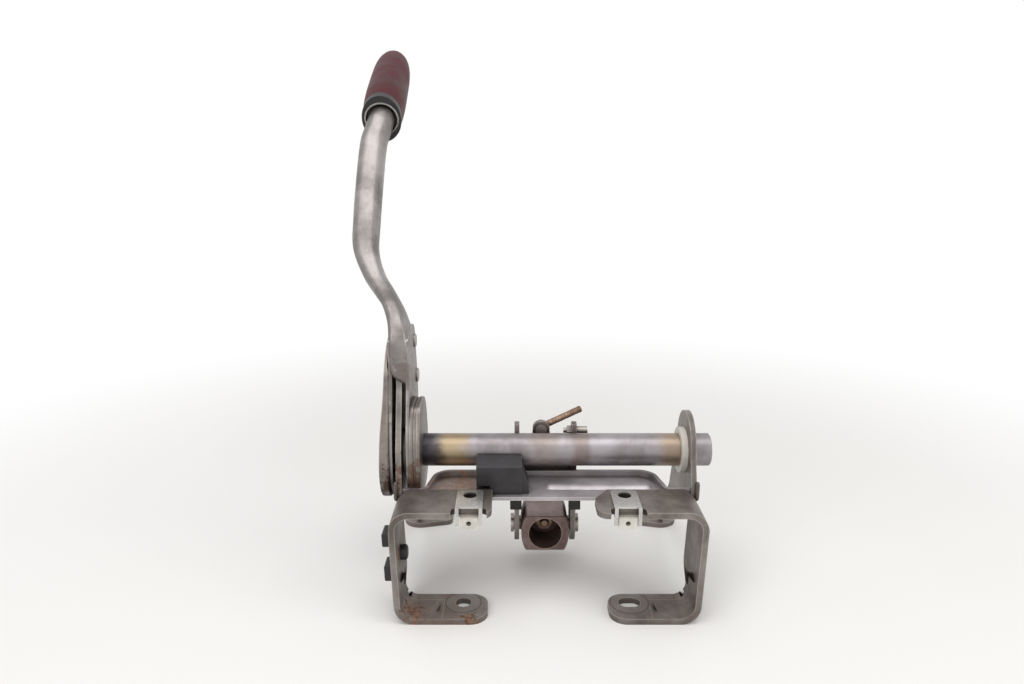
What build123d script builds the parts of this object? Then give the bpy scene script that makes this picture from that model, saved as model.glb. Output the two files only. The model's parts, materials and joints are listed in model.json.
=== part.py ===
from build123d import *
from math import atan, copysign, cos, degrees, pi, radians, sin
import os

os.makedirs("parts", exist_ok=True)

# The pieces are drawn with the floor under the feet at Z = 0, the cross tube along X, Y = 0 on
# the tube axis and +Y the way the lever leans. save() moves the origin up to the tube axis.

# Shared sizes
AXIS_Z = 93.0            # tube axis above the floor
TUBE_R = 11.0            # cross tube outside radius
TUBE_WALL = 2.2
RUN_GAP = 0.05           # radial clearance of a running fit
MOVE_GAP = 0.4           # least distance between parts that move past each other

# Front brackets
BRACKET_SHEET = 4.0
BRACKET_TOP_Z = 77.0
BRACKET_FRONT_Y = -62.7
BRACKET_TOP_OUT = 98.8   # outer face at the top of the wall
BRACKET_FOOT_OUT = 96.3  # outer face at the floor
TOP_REAR_Y = -29.0
WALL_REAR_Y = -22.7
FOOT_REAR_Y = -34.0
BEND_OUT_R = 13.0
FOOT_HOLE_X = 54.1
FOOT_HOLE_Y = -44.0
FOOT_HOLE_R = 5.0        # plain hole left, slot of the same width right
REAR_HOLE_X = 82.0
REAR_HOLE_Y = 90.0
CLIP_X = 49.0
CLIP_Y = -40.0
NOTCH_Y = -55.7          # floor of the notch in the front edge of each top plate
NOTCH_WIDTH = 22.0
HARNESS_Y = -45.0        # plastic clip in the left wall
HARNESS_Z = AXIS_Z - 52.0
HARNESS_NECK_R = 3.6
WALL_SLOPE = (BRACKET_TOP_OUT - BRACKET_FOOT_OUT) / BRACKET_TOP_Z

# Cross plate under the top plates
WEB_SHEET = 2.5
WEB_TOP_Z = BRACKET_TOP_Z - BRACKET_SHEET
RIM_HEIGHT = 3.5
RIM_SHEET = 2.3

# Side plates that carry the tube
SIDE_IN = 94.0
SIDE_SHEET = 3.6
SIDE_OUT = SIDE_IN + SIDE_SHEET
BUSH_SLEEVE_R = 14.2
BUSH_FLANGE_R = 15.4
FOOT_SHEET = 4.0

# Ratchet
TOOTH_PITCH = 4.0        # degrees
CLICKS = 8
LEVER_TRAVEL = CLICKS * TOOTH_PITCH
TIP_R = 62.0
ROOT_R = TIP_R - 2.6
NOSE_ANGLE = 28.0        # pawl nose at rest, degrees from vertical towards +Y
PAWL_PIVOT_ANGLE = 14.0
PAWL_PIVOT_R = TIP_R + 12.0
PAWL_PIN_R = 3.0
STOP_R = TIP_R - 10.0
STOP_ANGLE = 30.0
STOP_PIN_R = 3.2

# Lever foot, seen along X
ARM_LEFT = -102.0
ARM_RIGHT = -88.8
ARM_SHEET = 2.2
CHEEK_SHEET = 2.5
LEFT_FLANGE_X = -108.3
RIGHT_FLANGE_X = -82.0
FOOT_R = 30.0

# Lever tube and grip
LEVER_TUBE_R = 9.6
LEVER_WALL = 1.8
GRIP_TILT = 25.0
GRIP_LENGTH = 118.0
GRIP_HALF_W = 15.4
GRIP_HALF_H = 19.0
ENTRY = Vector(-120.5, 116.0, AXIS_Z + 219.0)
GRIP_TURN = 2.0          # degrees the grip leans outwards
CORE_LENGTH = 60.0       # how far the steel tube runs into the grip
BUTTON_R = 5.6
BUTTON_BACK = 103.0      # inner face of the button's cap, measured along the grip
BUTTON_FACE = 125.0
ROD_WIRE_R = 1.6
SPRING_REST = 38.0       # length of the button's coil

# Cable fork under the tube
FORK_MID_X = 0.7
ARM_IN = 18.0            # inner face of each fork arm from the fork's middle
FORK_SHEET = 3.4
TRUNNION_Y = 15.0
TRUNNION_Z = AXIS_Z - 62.0
TRUNNION_R = 5.0
CUP_R = 11.4
CUP_FRONT_Y = -2.0
CUP_BACK_Y = 28.0
CUP_HALF_W = 13.6
CUP_HALF_H = 13.0
CUP_BULGE = 3.0
ROD_R = 3.0

# Stud and bolt above the fork
LINK_X = -2.2
LINK_Y = 12.6
LINK_Z = AXIS_Z + 9.3
LINK_PIN_R = 2.0
LINK_SLOPE = 26.0
EYE_THICK = 4.4
EAR_Y = 13.6
EAR_Z = AXIS_Z + 8.6
EAR_BOLT_R = 1.8

# Warning lamp switch
SWITCH_X0 = -45.6
SWITCH_X1 = -16.0
SWITCH_FRONT_Y = -28.2
SWITCH_BACK_Y = -11.8
SWITCH_TOP_Z = AXIS_Z - 0.7
PLUNGER_X = -31.0
PLUNGER_Z = AXIS_Z - 12.2
PLUNGER_R = 2.4
PLUNGER_TIP_Y = -8.6


# Drawing helpers


def rounded(corners):
    """Closed face from corners given as (x, y, radius); radius 0 keeps the corner sharp."""
    count = len(corners)
    entries = []
    for i, (x, y, r) in enumerate(corners):
        here = Vector(x, y)
        back = (Vector(*corners[i - 1][:2]) - here).normalized()
        ahead = (Vector(*corners[(i + 1) % count][:2]) - here).normalized()
        straight = (back + ahead).length < 1e-6
        if r == 0 or straight:
            entries.append((here, None, here))
            continue
        half = radians(back.get_angle(ahead)) / 2
        middle = (back + ahead).normalized()
        reach = r * cos(half) / sin(half)
        crown = here + middle * (r / sin(half) - r)
        entries.append((here + back * reach, crown, here + ahead * reach))
    edges = []
    for i, (start, crown, end) in enumerate(entries):
        if crown is not None:
            edges.append(ThreePointArc(start, crown, end))
        after = entries[(i + 1) % count][0]
        if (after - end).length > 1e-4:
            edges.append(Line(end, after))
    return make_face(Wire(edges))


def oval(half_w, half_h, power=2.0):
    """Closed smooth section: |x/w|^power + |y/h|^power = 1, drawn through twelve points."""
    points = []
    for k in range(12):
        turn = 2 * pi * (k + 0.5) / 12
        c = cos(turn)
        s = sin(turn)
        x = half_w * copysign(abs(c) ** (2 / power), c)
        y = half_h * copysign(abs(s) ** (2 / power), s)
        points.append((x, y))
    return make_face(Wire([Spline(points, periodic=True)]))


def side_plane(x):
    """Plane for an outline in (Y, Z) whose extrusion runs towards +X."""
    return Plane((x, 0, 0), x_dir=(0, 1, 0), z_dir=(1, 0, 0))


def front_plane(y):
    """Plane for an outline in (X, Z) whose extrusion by a negative amount runs towards +Y."""
    return Plane((0, y, 0), x_dir=(1, 0, 0), z_dir=(0, -1, 0))


def side_sheet(corners, x0, x1):
    return extrude(side_plane(x0) * rounded(corners), x1 - x0)


def front_sheet(corners, y0, y1):
    return extrude(front_plane(y0) * rounded(corners), y0 - y1)


def plan_sheet(corners, z0, z1):
    return extrude(Plane.XY.offset(z0) * rounded(corners), z1 - z0)


def block(x0, x1, y0, y1, z0, z1):
    return Pos((x0 + x1) / 2, (y0 + y1) / 2, (z0 + z1) / 2) * Box(x1 - x0, y1 - y0, z1 - z0)


def rod_x(r, x0, x1, y, z):
    return Pos((x0 + x1) / 2, y, z) * Rot(0, 90, 0) * Cylinder(r, x1 - x0)


def rod_y(r, y0, y1, x, z):
    return Pos(x, (y0 + y1) / 2, z) * Rot(90, 0, 0) * Cylinder(r, y1 - y0)


def rod_z(r, z0, z1, x, y):
    return Pos(x, y, (z0 + z1) / 2) * Cylinder(r, z1 - z0)


def about_axis(radius, angle):
    """Point in (Y, Z) at a radius from the tube axis, angle in degrees from vertical to +Y."""
    return radius * sin(radians(angle)), AXIS_Z + radius * cos(radians(angle))


def save(name, shape):
    """Write one piece, moved so that the tube axis passes through the origin."""
    export_step(Pos(0, 0, -AXIS_Z) * shape, "parts/" + name + ".step")


# Front brackets


def bracket(top_end, foot_end, slot_half, cut_back):
    """Right-hand stamped strap: foot, wall and top plate in one bent sheet."""
    t = BRACKET_SHEET
    inner_r = BEND_OUT_R - t
    outside = [
        (foot_end, 0, 0),
        (BRACKET_FOOT_OUT, 0, BEND_OUT_R),
        (BRACKET_TOP_OUT, BRACKET_TOP_Z, BEND_OUT_R),
        (top_end, BRACKET_TOP_Z, 0),
    ]
    inside = [
        (top_end, BRACKET_TOP_Z - t, 0),
        (BRACKET_TOP_OUT - t, BRACKET_TOP_Z - t, inner_r),
        (BRACKET_FOOT_OUT - t, t, inner_r),
        (foot_end, t, 0),
    ]
    strip = front_sheet(outside + inside, BRACKET_FRONT_Y, 0)
    envelope = front_sheet(outside, BRACKET_FRONT_Y, 0)

    # A pressed rib stiffens the lower corner and leaves a hollow on the outside
    rib_x = BRACKET_FOOT_OUT - t - 8.5
    rib_y = (BRACKET_FRONT_Y + FOOT_REAR_Y) / 2
    turn = Pos(rib_x, rib_y, t + 8.5) * Rot(0, 45, 0)
    strip += turn * Cylinder(6.4, 30) & envelope
    strip -= Pos(2.6, 0, -2.6) * turn * Cylinder(3.9, 60)

    # Depth of the strap seen from the side
    front = BRACKET_FRONT_Y
    depth = side_sheet(
        [
            (front, -1, 0),
            (FOOT_REAR_Y, -1, 0),
            (FOOT_REAR_Y, 12, 6),
            (WALL_REAR_Y, 22, 10),
            (WALL_REAR_Y, 56, 10),
            (TOP_REAR_Y, 66, 5),
            (TOP_REAR_Y, BRACKET_TOP_Z + 1, 0),
            (front, BRACKET_TOP_Z + 1, 0),
        ],
        0,
        BRACKET_TOP_OUT + 1,
    )
    far = BRACKET_TOP_OUT + 1
    middle_z = BRACKET_TOP_Z / 2
    upper = plan_sheet(
        [
            (top_end, front, 7),
            (far, front, 2),
            (far, 0, 0),
            (top_end + cut_back + 1, 0, 0),
            (top_end + cut_back + 1, TOP_REAR_Y, 0),
            (top_end + cut_back, TOP_REAR_Y, 0),
            (top_end, TOP_REAR_Y - cut_back * 0.9 - 5, 5),
        ],
        middle_z,
        BRACKET_TOP_Z + 1,
    )
    lower = plan_sheet(
        [
            (foot_end, front, 11),
            (far, front, 2),
            (far, 0, 0),
            (foot_end + 14, 0, 0),
            (foot_end + 14, FOOT_REAR_Y, 0),
            (foot_end, FOOT_REAR_Y, 11),
        ],
        -1,
        middle_z,
    )
    strap = strip & depth & (upper + lower)

    slot = rod_z(FOOT_HOLE_R, -1, t + 1, FOOT_HOLE_X - slot_half, FOOT_HOLE_Y)
    slot += rod_z(FOOT_HOLE_R, -1, t + 1, FOOT_HOLE_X + slot_half, FOOT_HOLE_Y)
    if slot_half > 0:
        slot += block(
            FOOT_HOLE_X - slot_half,
            FOOT_HOLE_X + slot_half,
            FOOT_HOLE_Y - FOOT_HOLE_R,
            FOOT_HOLE_Y + FOOT_HOLE_R,
            -1,
            t + 1,
        )
    notch = plan_sheet(
        [
            (CLIP_X - NOTCH_WIDTH / 2, NOTCH_Y, 3),
            (CLIP_X - NOTCH_WIDTH / 2, front - 1, 0),
            (CLIP_X + NOTCH_WIDTH / 2, front - 1, 0),
            (CLIP_X + NOTCH_WIDTH / 2, NOTCH_Y, 3),
        ],
        60,
        BRACKET_TOP_Z + 1,
    )
    clip_hole = rod_z(5.2, 60, BRACKET_TOP_Z + 1, CLIP_X, CLIP_Y)
    return strap - slot - notch - clip_hole


def on_left_wall():
    """Place on the outer face of the slanted left wall at the harness clip's height."""
    x = -BRACKET_FOOT_OUT - WALL_SLOPE * HARNESS_Z
    return Pos(x, HARNESS_Y, HARNESS_Z) * Rot(0, -degrees(atan(WALL_SLOPE)), 0)


def left_bracket():
    strap = mirror(bracket(35.0, 38.0, 0.0, 0.0), about=Plane.YZ)
    return strap - on_left_wall() * rod_x(HARNESS_NECK_R, -5, 15, 0, 0)


def right_bracket():
    return bracket(30.0, 40.0, 2.2, 9.0)


# Cross plate


def web_outline():
    right = [
        (58, -32, 4),
        (58, -45, 4),
        (85, -45, 4),
        (85, TOP_REAR_Y + 0.3, 0),
        (SIDE_IN, TOP_REAR_Y + 0.3, 0),
        (SIDE_IN, -25.4, 0),
        (79.5, -25.4, 3),
        (74, 4, 13),
    ]
    left = [(-x, y, r) for x, y, r in reversed(right)]
    return right + left


def cross_plate():
    outline = rounded(web_outline())
    base = Plane.XY.offset(WEB_TOP_Z - WEB_SHEET)
    sheet = extrude(base * outline, WEB_SHEET)
    inner = offset(outline, -RIM_SHEET, kind=Kind.ARC)
    ring = extrude(base * outline, WEB_SHEET + RIM_HEIGHT) - extrude(base * inner, 20)
    rear_only = block(-SIDE_IN, SIDE_IN, -27.4, 10, 60, 90)
    plate = sheet + (ring & rear_only)

    # Long raised bead: half-round ridge on top, matching groove below
    bead_y = -16.0
    bead_r = 5.2
    lift = 3.4
    ends = (4.0, 66.0)

    def ridge(radius, drop):
        body = rod_x(radius, ends[0], ends[1], bead_y, WEB_TOP_Z - drop)
        for x in ends:
            body += Pos(x, bead_y, WEB_TOP_Z - drop) * Sphere(radius)
        return body

    above = block(-10, 85, -30, 0, WEB_TOP_Z - 1.2, WEB_TOP_Z + 10)
    below = block(-10, 85, -30, 0, WEB_TOP_Z - WEB_SHEET - 1, WEB_TOP_Z + 10)
    plate += ridge(bead_r + 1.2, lift + 0.9) & above
    plate -= ridge(bead_r - 1.0, lift + 0.9) & below

    # Two snap holes for the switch
    for x in (SWITCH_X0 + 7, SWITCH_X1 - 7):
        plate -= rod_z(2.6, 60, 90, x, -20)
    return plate


# Side plates with their sloping rear legs

LEG_TAIL = [
    (36, AXIS_Z - 32, 14),
    (40, AXIS_Z - 46, 16),
    (106, AXIS_Z - 78, 9),
    (108, FOOT_SHEET, 0),
    (74, FOOT_SHEET, 0),
    (58, AXIS_Z - 72, 16),
    (0, AXIS_Z - 45, 20),
    (WALL_REAR_Y + 0.4, AXIS_Z - 40, 8),
    (WALL_REAR_Y + 0.4, AXIS_Z - 32, 0),
    (TOP_REAR_Y + 0.3, AXIS_Z - 24, 0),
]


def right_side_plate():
    outline = [
        (TOP_REAR_Y + 0.3, AXIS_Z - 14, 8),
        (-21.2, AXIS_Z + 4, 12),
        (-21.2, AXIS_Z + 27, 21.1),
        (21.2, AXIS_Z + 27, 21.1),
        (21.2, AXIS_Z + 2, 14),
    ] + LEG_TAIL
    plate = side_sheet(outline, SIDE_IN, SIDE_OUT)
    return plate - rod_x(BUSH_SLEEVE_R, 80, 110, 0, AXIS_Z)


def ratchet_plate():
    front_top = about_axis(TIP_R + 1, -9)
    rear_top = about_axis(TIP_R + 1, 44)
    crown = about_axis(TIP_R * 1.16, 17)
    outline = [
        (TOP_REAR_Y + 0.3, AXIS_Z - 14, 8),
        (-26, AXIS_Z + 8, 20),
        (-11.8, AXIS_Z + 47, 14),
        (*front_top, 0),
        (*crown, 0),
        (*rear_top, 0),
        (44, AXIS_Z + 6, 20),
    ] + LEG_TAIL
    plate = side_sheet(outline, -SIDE_OUT, -SIDE_IN)
    plate &= rod_x(TIP_R, -SIDE_OUT - 1, -SIDE_IN + 1, 0, AXIS_Z) + block(
        -SIDE_OUT - 1, -SIDE_IN + 1, -40, 120, 0, AXIS_Z + 30
    )
    plate -= rod_x(BUSH_SLEEVE_R, -110, -80, 0, AXIS_Z)

    # Saw teeth: each gap has one radial face and one sloping back
    for k in range(CLICKS + 1):
        steep = NOSE_ANGLE - 0.1 - k * TOOTH_PITCH
        gap = [
            (*about_axis(TIP_R + 2, steep), 0),
            (*about_axis(ROOT_R, steep), 0),
            (*about_axis(TIP_R + 0.2, steep - 3.5), 0),
            (*about_axis(TIP_R + 2, steep - 3.5), 0),
        ]
        plate -= side_sheet(gap, -SIDE_OUT - 1, -SIDE_IN + 1)

    # Arc slot for the stop pin, as long as the lever's travel
    half = STOP_PIN_R + MOVE_GAP
    ring = rod_x(STOP_R + half, -110, -80, 0, AXIS_Z) - rod_x(STOP_R - half, -120, -70, 0, AXIS_Z)
    first = about_axis(150, STOP_ANGLE)
    last = about_axis(150, STOP_ANGLE - LEVER_TRAVEL)
    middle = about_axis(200, STOP_ANGLE - LEVER_TRAVEL / 2)
    wedge = side_sheet([(0, AXIS_Z, 0), (*last, 0), (*middle, 0), (*first, 0)], -110, -80)
    slot = ring & wedge
    for angle in (STOP_ANGLE, STOP_ANGLE - LEVER_TRAVEL):
        y, z = about_axis(STOP_R, angle)
        slot += rod_x(half, -110, -80, y, z)
    return plate - slot


def rear_foot(side):
    """Flat foot under the leg, its front edge slanting back towards the middle."""
    corners = [
        (70, 71, 5),
        (108, 62, 13),
        (108, 110, 8),
        (70, 110, 8),
    ]
    foot = plan_sheet(corners, 0, FOOT_SHEET)
    foot -= rod_z(FOOT_HOLE_R, -1, 10, REAR_HOLE_X, REAR_HOLE_Y)
    if side < 0:
        foot = mirror(foot, about=Plane.YZ)
    return foot


def bush(inner_x, outer_x, inner_flange, outer_flange, tabs):
    """Flanged plastic bush round the tube, seated in a side plate between the two faces."""
    bore = TUBE_R + RUN_GAP
    left = inner_x - inner_flange
    right = outer_x + outer_flange
    body = rod_x(BUSH_SLEEVE_R, left, right, 0, AXIS_Z)
    body += rod_x(BUSH_FLANGE_R, left, inner_x, 0, AXIS_Z)
    lip = rod_x(BUSH_SLEEVE_R + 1.0, outer_x, right, 0, AXIS_Z)
    if tabs:
        for k in range(3):
            gap = Pos(0, 0, AXIS_Z) * Rot(30 + 120 * k, 0, 0) * Pos(0, 15, 0) * Box(400, 12, 7)
            lip -= gap
    body += lip
    return body - rod_x(bore, left - 1, right + 1, 0, AXIS_Z)


# Small pieces on the frame


def clip_nut(side):
    """Spring-steel clip over the notch edge: two leaves, two front bars and a threaded barrel."""
    sheet = 1.2
    half = 8.4
    bar = 2.2
    upper0 = BRACKET_TOP_Z
    upper1 = upper0 + sheet
    lower1 = WEB_TOP_Z
    lower0 = lower1 - sheet
    rear = -32.5
    front = -59.2

    def leaf(z0, z1):
        body = plan_sheet([(-half, NOTCH_Y - 1, 0), (half, NOTCH_Y - 1, 0), (half, rear, 3), (-half, rear, 3)], z0, z1)
        for s in (-1, 1):
            body += block(min(s * half, s * (half - bar)), max(s * half, s * (half - bar)), front, NOTCH_Y, z0, z1)
        return body

    body = leaf(upper0, upper1) + leaf(lower0, lower1)
    for s in (-1, 1):
        edge = sorted((s * half, s * (half - bar)))
        body += block(edge[0], edge[1], front, front + sheet, lower0 - 5.2, upper1)
    body += rod_z(5.0, lower0 - 4.5, lower1, 0, CLIP_Y)
    body -= rod_z(3.0, lower0 - 6, upper1 + 1, 0, CLIP_Y)
    body -= rod_z(4.3, upper0 - 0.5, upper1 + 1, 0, CLIP_Y)
    return Pos(side * CLIP_X, 0, 0) * body


def clip_insert(side):
    """Nylon block held between the two front bars of the clip."""
    half = 5.6
    top = WEB_TOP_Z - 1.2
    body = front_sheet([(-half, top, 0), (half, top, 0), (half, top - 7.2, 1), (-half, top - 7.2, 1)], -59.6, -50.0)
    body -= rod_y(1.6, -60, -53, 0, top - 3.4)
    return Pos(side * CLIP_X, 0, 0) * body


def harness_clip():
    """Push-in plastic clip in the left wall: knob inside, two pads outside."""
    knob = rod_x(5.0, BRACKET_SHEET + 0.05, BRACKET_SHEET + 4.6, 0, 0)
    knob = fillet(knob.edges().sort_by(Axis.X)[-1], 1.8)
    neck = rod_x(HARNESS_NECK_R, -1, BRACKET_SHEET + 1, 0, 0)
    plate = block(-1.8, -0.02, -6, 6, -17, 16)
    upper = block(-6.4, -1.5, -6, 6, 7, 16)
    lower = block(-6.4, -1.5, -6, 6, -17, -6.5)
    upper = fillet(upper.edges().filter_by(Axis.Y), 1.0)
    lower = fillet(lower.edges().filter_by(Axis.Y), 1.0)
    return on_left_wall() * (knob + neck + plate + upper + lower)


def weld_seam(side):
    """Bead where a side plate's front edge meets the back of its bracket."""
    points = [(TOP_REAR_Y, AXIS_Z - 13), (TOP_REAR_Y + 0.1, AXIS_Z - 22)]
    bead = None
    for k in range(4):
        step = k / 3
        y = points[0][0] + (points[1][0] - points[0][0]) * step
        z = points[0][1] + (points[1][1] - points[0][1]) * step
        drop = Pos(side * (SIDE_OUT + 0.2), y, z) * Sphere(2.3)
        bead = drop if bead is None else bead + drop
    if side < 0:
        return bead - left_bracket() - ratchet_plate()
    return bead - right_bracket() - right_side_plate()



# Cross tube, lever foot and cheeks


def cross_tube():
    left = LEFT_FLANGE_X + 3.9 - CHEEK_SHEET - 0.8
    right = 111.0
    tube = rod_x(TUBE_R, left, right, 0, AXIS_Z)
    tube -= rod_x(TUBE_R - TUBE_WALL, left - 1, right + 1, 0, AXIS_Z)
    rims = tube.edges().filter_by(GeomType.CIRCLE).filter_by(lambda e: e.radius > TUBE_R - 0.1)
    return chamfer(rims, 0.6)


LEFT_TOP = [
    (-15.5, AXIS_Z + 46, 12),
    (-15.5, AXIS_Z + 66, 10),
    (2, AXIS_Z + 80, 10),
    (34, AXIS_Z + 80, 12),
    (43, AXIS_Z + 62, 16),
    (41, AXIS_Z + 34, 20),
]
RIGHT_TOP = [
    (-15.0, AXIS_Z + 46, 12),
    (-11, AXIS_Z + 70, 14),
    (10, AXIS_Z + 95, 10),
    (34, AXIS_Z + 88, 12),
    (43, AXIS_Z + 62, 16),
    (41, AXIS_Z + 34, 20),
]


def cheek_outline(radius, top):
    """Round foot about the tube axis running up to the wide top that covers the ratchet."""
    foot = [
        (radius, AXIS_Z - radius, radius - 1),
        (-radius, AXIS_Z - radius, radius - 1),
        (-radius, AXIS_Z + 14, 16),
    ]
    return foot + top


def flange(outline, x0, x1, sheet, z_top, y_back):
    """Turned rim along the front and bottom of a cheek, from x0 out to x1."""
    face = rounded(outline)
    near = side_plane(x0)
    solid = extrude(near * face, x1 - x0)
    inner = offset(face, -sheet, kind=Kind.ARC)
    hollow = extrude(near * inner, x1 - x0)
    keep = block(min(x0, x1), max(x0, x1), -60, y_back, 0, z_top)
    return (solid - hollow) & keep


def left_cheek():
    plate_out = ARM_LEFT - CHEEK_SHEET
    outline = cheek_outline(FOOT_R + 0.5, LEFT_TOP)
    cheek = side_sheet(outline, plate_out, ARM_LEFT)
    cheek += flange(outline, ARM_LEFT, LEFT_FLANGE_X, CHEEK_SHEET, AXIS_Z + 80, 60)
    return cut_lever_holes(cheek)


def right_cheek():
    outline = cheek_outline(FOOT_R - 1.5, RIGHT_TOP)
    cheek = side_sheet(outline, ARM_RIGHT, ARM_RIGHT + CHEEK_SHEET)
    cheek += flange(outline, ARM_RIGHT, RIGHT_FLANGE_X, CHEEK_SHEET, AXIS_Z + 34, 24)
    return cut_lever_holes(cheek)


def cut_lever_holes(body):
    body -= rod_x(TUBE_R, -120, -70, 0, AXIS_Z)
    y, z = about_axis(STOP_R, STOP_ANGLE)
    body -= rod_x(STOP_PIN_R, -120, -70, y, z)
    y, z = about_axis(PAWL_PIVOT_R, PAWL_PIVOT_ANGLE)
    return body - rod_x(PAWL_PIN_R, -120, -70, y, z)


def arm_legs():
    """Solid and cavity of the arm's U-shaped foot, which is closed at the front only."""
    walls = [
        (FOOT_R - 4, AXIS_Z - FOOT_R + 4, FOOT_R - 5),
        (-FOOT_R + 4, AXIS_Z - FOOT_R + 4, FOOT_R - 5),
        (-FOOT_R + 4, AXIS_Z + 14, 16),
        (-14.5, AXIS_Z + 46, 12),
        (-14.5, AXIS_Z + 78, 12),
        (14, AXIS_Z + 93, 4),
        (30, AXIS_Z + 86, 8),
        (38, AXIS_Z + 62, 14),
        (35, AXIS_Z + 34, 20),
    ]
    outer = side_sheet(walls, ARM_LEFT, ARM_RIGHT)
    outer = fillet(outer.edges().filter_by(lambda e: abs(e.center().Y + 14.5) < 0.01), 2.6)
    inner_face = offset(rounded(walls), -ARM_SHEET, kind=Kind.ARC)
    cavity = extrude(side_plane(ARM_LEFT + ARM_SHEET) * inner_face, ARM_RIGHT - ARM_LEFT - 2 * ARM_SHEET)
    # The front wall ends in a lip that slants down to the right
    lip_cut = front_sheet(
        [
            (ARM_LEFT + ARM_SHEET, AXIS_Z - 60, 0),
            (ARM_RIGHT - ARM_SHEET, AXIS_Z - 60, 0),
            (ARM_RIGHT - ARM_SHEET, AXIS_Z + 50, 0),
            (ARM_LEFT + ARM_SHEET, AXIS_Z + 60, 0),
        ],
        -60,
        60,
    )
    rear_cut = block(ARM_LEFT + ARM_SHEET, ARM_RIGHT - ARM_SHEET, 12, 60, AXIS_Z - 60, AXIS_Z + 84)
    return outer, cavity + lip_cut + rear_cut


# Lever arm: oval sections carried along a path that steps outwards and leans away

ARM_PATH = [
    # x, y, z, half width, half depth, lean of the section in degrees
    (-95.4, 3.0, AXIS_Z + 76, 6.0, 12.5, 12),
    (-99.0, 14.0, AXIS_Z + 88, 6.9, 11.5, 26),
    (-107.0, 24.0, AXIS_Z + 98, 7.3, 10.6, 36),
    (-117.0, 36.5, AXIS_Z + 111, 7.9, 10.0, 37),
    (-124.3, 50.0, AXIS_Z + 128.5, 8.8, 9.8, 36),
    (-125.4, 62.5, AXIS_Z + 146, 9.3, 9.6, 35),
    (-125.4, 84.0, AXIS_Z + 177, 9.6, 9.6, 35),
    (-124.6, 100.0, AXIS_Z + 200, 9.6, 9.6, 37),
    (-122.2, 108.0, AXIS_Z + 210.5, 9.6, 9.6, 50),
    (ENTRY.X, ENTRY.Y, ENTRY.Z, 9.6, 9.6, 65),
]


def arm_sections(shrink):
    faces = []
    for x, y, z, half_w, half_d, lean in ARM_PATH:
        normal = (0, sin(radians(lean)), cos(radians(lean)))
        plane = Plane((x, y, z), x_dir=(1, 0, 0), z_dir=normal)
        faces.append(plane * oval(half_w - shrink, half_d - shrink, 2.4))
    return faces


def grip_plane(along):
    """Plane square to the grip, at a distance along it from the lower end."""
    tilt = radians(GRIP_TILT)
    turn = radians(GRIP_TURN)
    heading = Vector(-sin(turn) * cos(tilt), cos(turn) * cos(tilt), sin(tilt))
    return Plane(ENTRY + heading * along, x_dir=(cos(turn), sin(turn), 0), z_dir=heading)


def along_grip(radius, start, end):
    """Round bar on the grip's middle line."""
    return grip_plane((start + end) / 2) * Cylinder(radius, end - start)


def lever_arm():
    """Drawn tube that starts on the foot and runs straight on inside the grip."""
    legs, _ = arm_legs()
    arm = loft(arm_sections(0)) - loft(arm_sections(LEVER_WALL)) - legs
    arm = arm.solids().sort_by(SortBy.VOLUME)[-1]
    core = along_grip(LEVER_TUBE_R, 0, CORE_LENGTH)
    core -= along_grip(LEVER_TUBE_R - LEVER_WALL, -0.5, CORE_LENGTH + 0.5)
    return arm + core


def arm_foot():
    """Pressed channel that straddles the ratchet, open at the top for the release rod."""
    legs, cavity = arm_legs()
    return cut_lever_holes(legs - cavity - loft(arm_sections(LEVER_WALL)))


# Grip, button and release rod


def grip_section(along, half_w, half_h):
    return grip_plane(along) * oval(half_w, half_h)


def grip():
    shape = loft(
        [
            grip_section(6, GRIP_HALF_W - 0.8, GRIP_HALF_H - 1.0),
            grip_section(18, GRIP_HALF_W, GRIP_HALF_H),
            grip_section(52, GRIP_HALF_W + 0.3, GRIP_HALF_H - 0.4),
            grip_section(86, GRIP_HALF_W - 0.2, GRIP_HALF_H - 2.2),
            grip_section(104, GRIP_HALF_W - 2.0, GRIP_HALF_H - 4.4),
            grip_section(GRIP_LENGTH, GRIP_HALF_W - 6.2, GRIP_HALF_H - 9.0),
        ]
    )
    shape -= along_grip(LEVER_TUBE_R, 0, CORE_LENGTH + 0.1)
    return shape - along_grip(BUTTON_R + 0.35, CORE_LENGTH - 5, BUTTON_FACE)


def grip_collar():
    """Dark end collar with a recess where the arm enters."""
    mouth = grip_section(-1, GRIP_HALF_W - 0.6, GRIP_HALF_H - 0.8)
    root = grip_section(6, GRIP_HALF_W - 0.8, GRIP_HALF_H - 1.0)
    collar = loft([mouth, root]) - along_grip(LEVER_TUBE_R + 3.4, -1.5, 2.5)
    return collar - along_grip(LEVER_TUBE_R, -10, 30)


def grip_ring():
    """Thin bright ring let into the collar's mouth."""
    return along_grip(LEVER_TUBE_R + 3.4, -0.8, 1.6) - along_grip(LEVER_TUBE_R + 2.2, -2, 3)


def release_button():
    """Push button in the far end of the grip, with its stem."""
    cap = along_grip(BUTTON_R, BUTTON_BACK, BUTTON_FACE)
    dome = grip_plane(BUTTON_FACE - 8.6) * Sphere(10.4)
    cap &= dome + along_grip(BUTTON_R + 1, BUTTON_BACK, BUTTON_FACE - 6)
    return cap + along_grip(2.0, CORE_LENGTH, BUTTON_BACK + 2)


def button_spring():
    """Coil spring between the grip's core and the button, drawn with a round wire."""
    turns = Helix(pitch=5.4, height=SPRING_REST, radius=4.2)
    wire = Wire(turns.edges())
    start = Plane(wire @ 0, z_dir=wire % 0)
    coil = sweep(start * Circle(0.6), path=wire)
    return grip_plane(BUTTON_BACK - 1 - SPRING_REST) * coil


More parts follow.
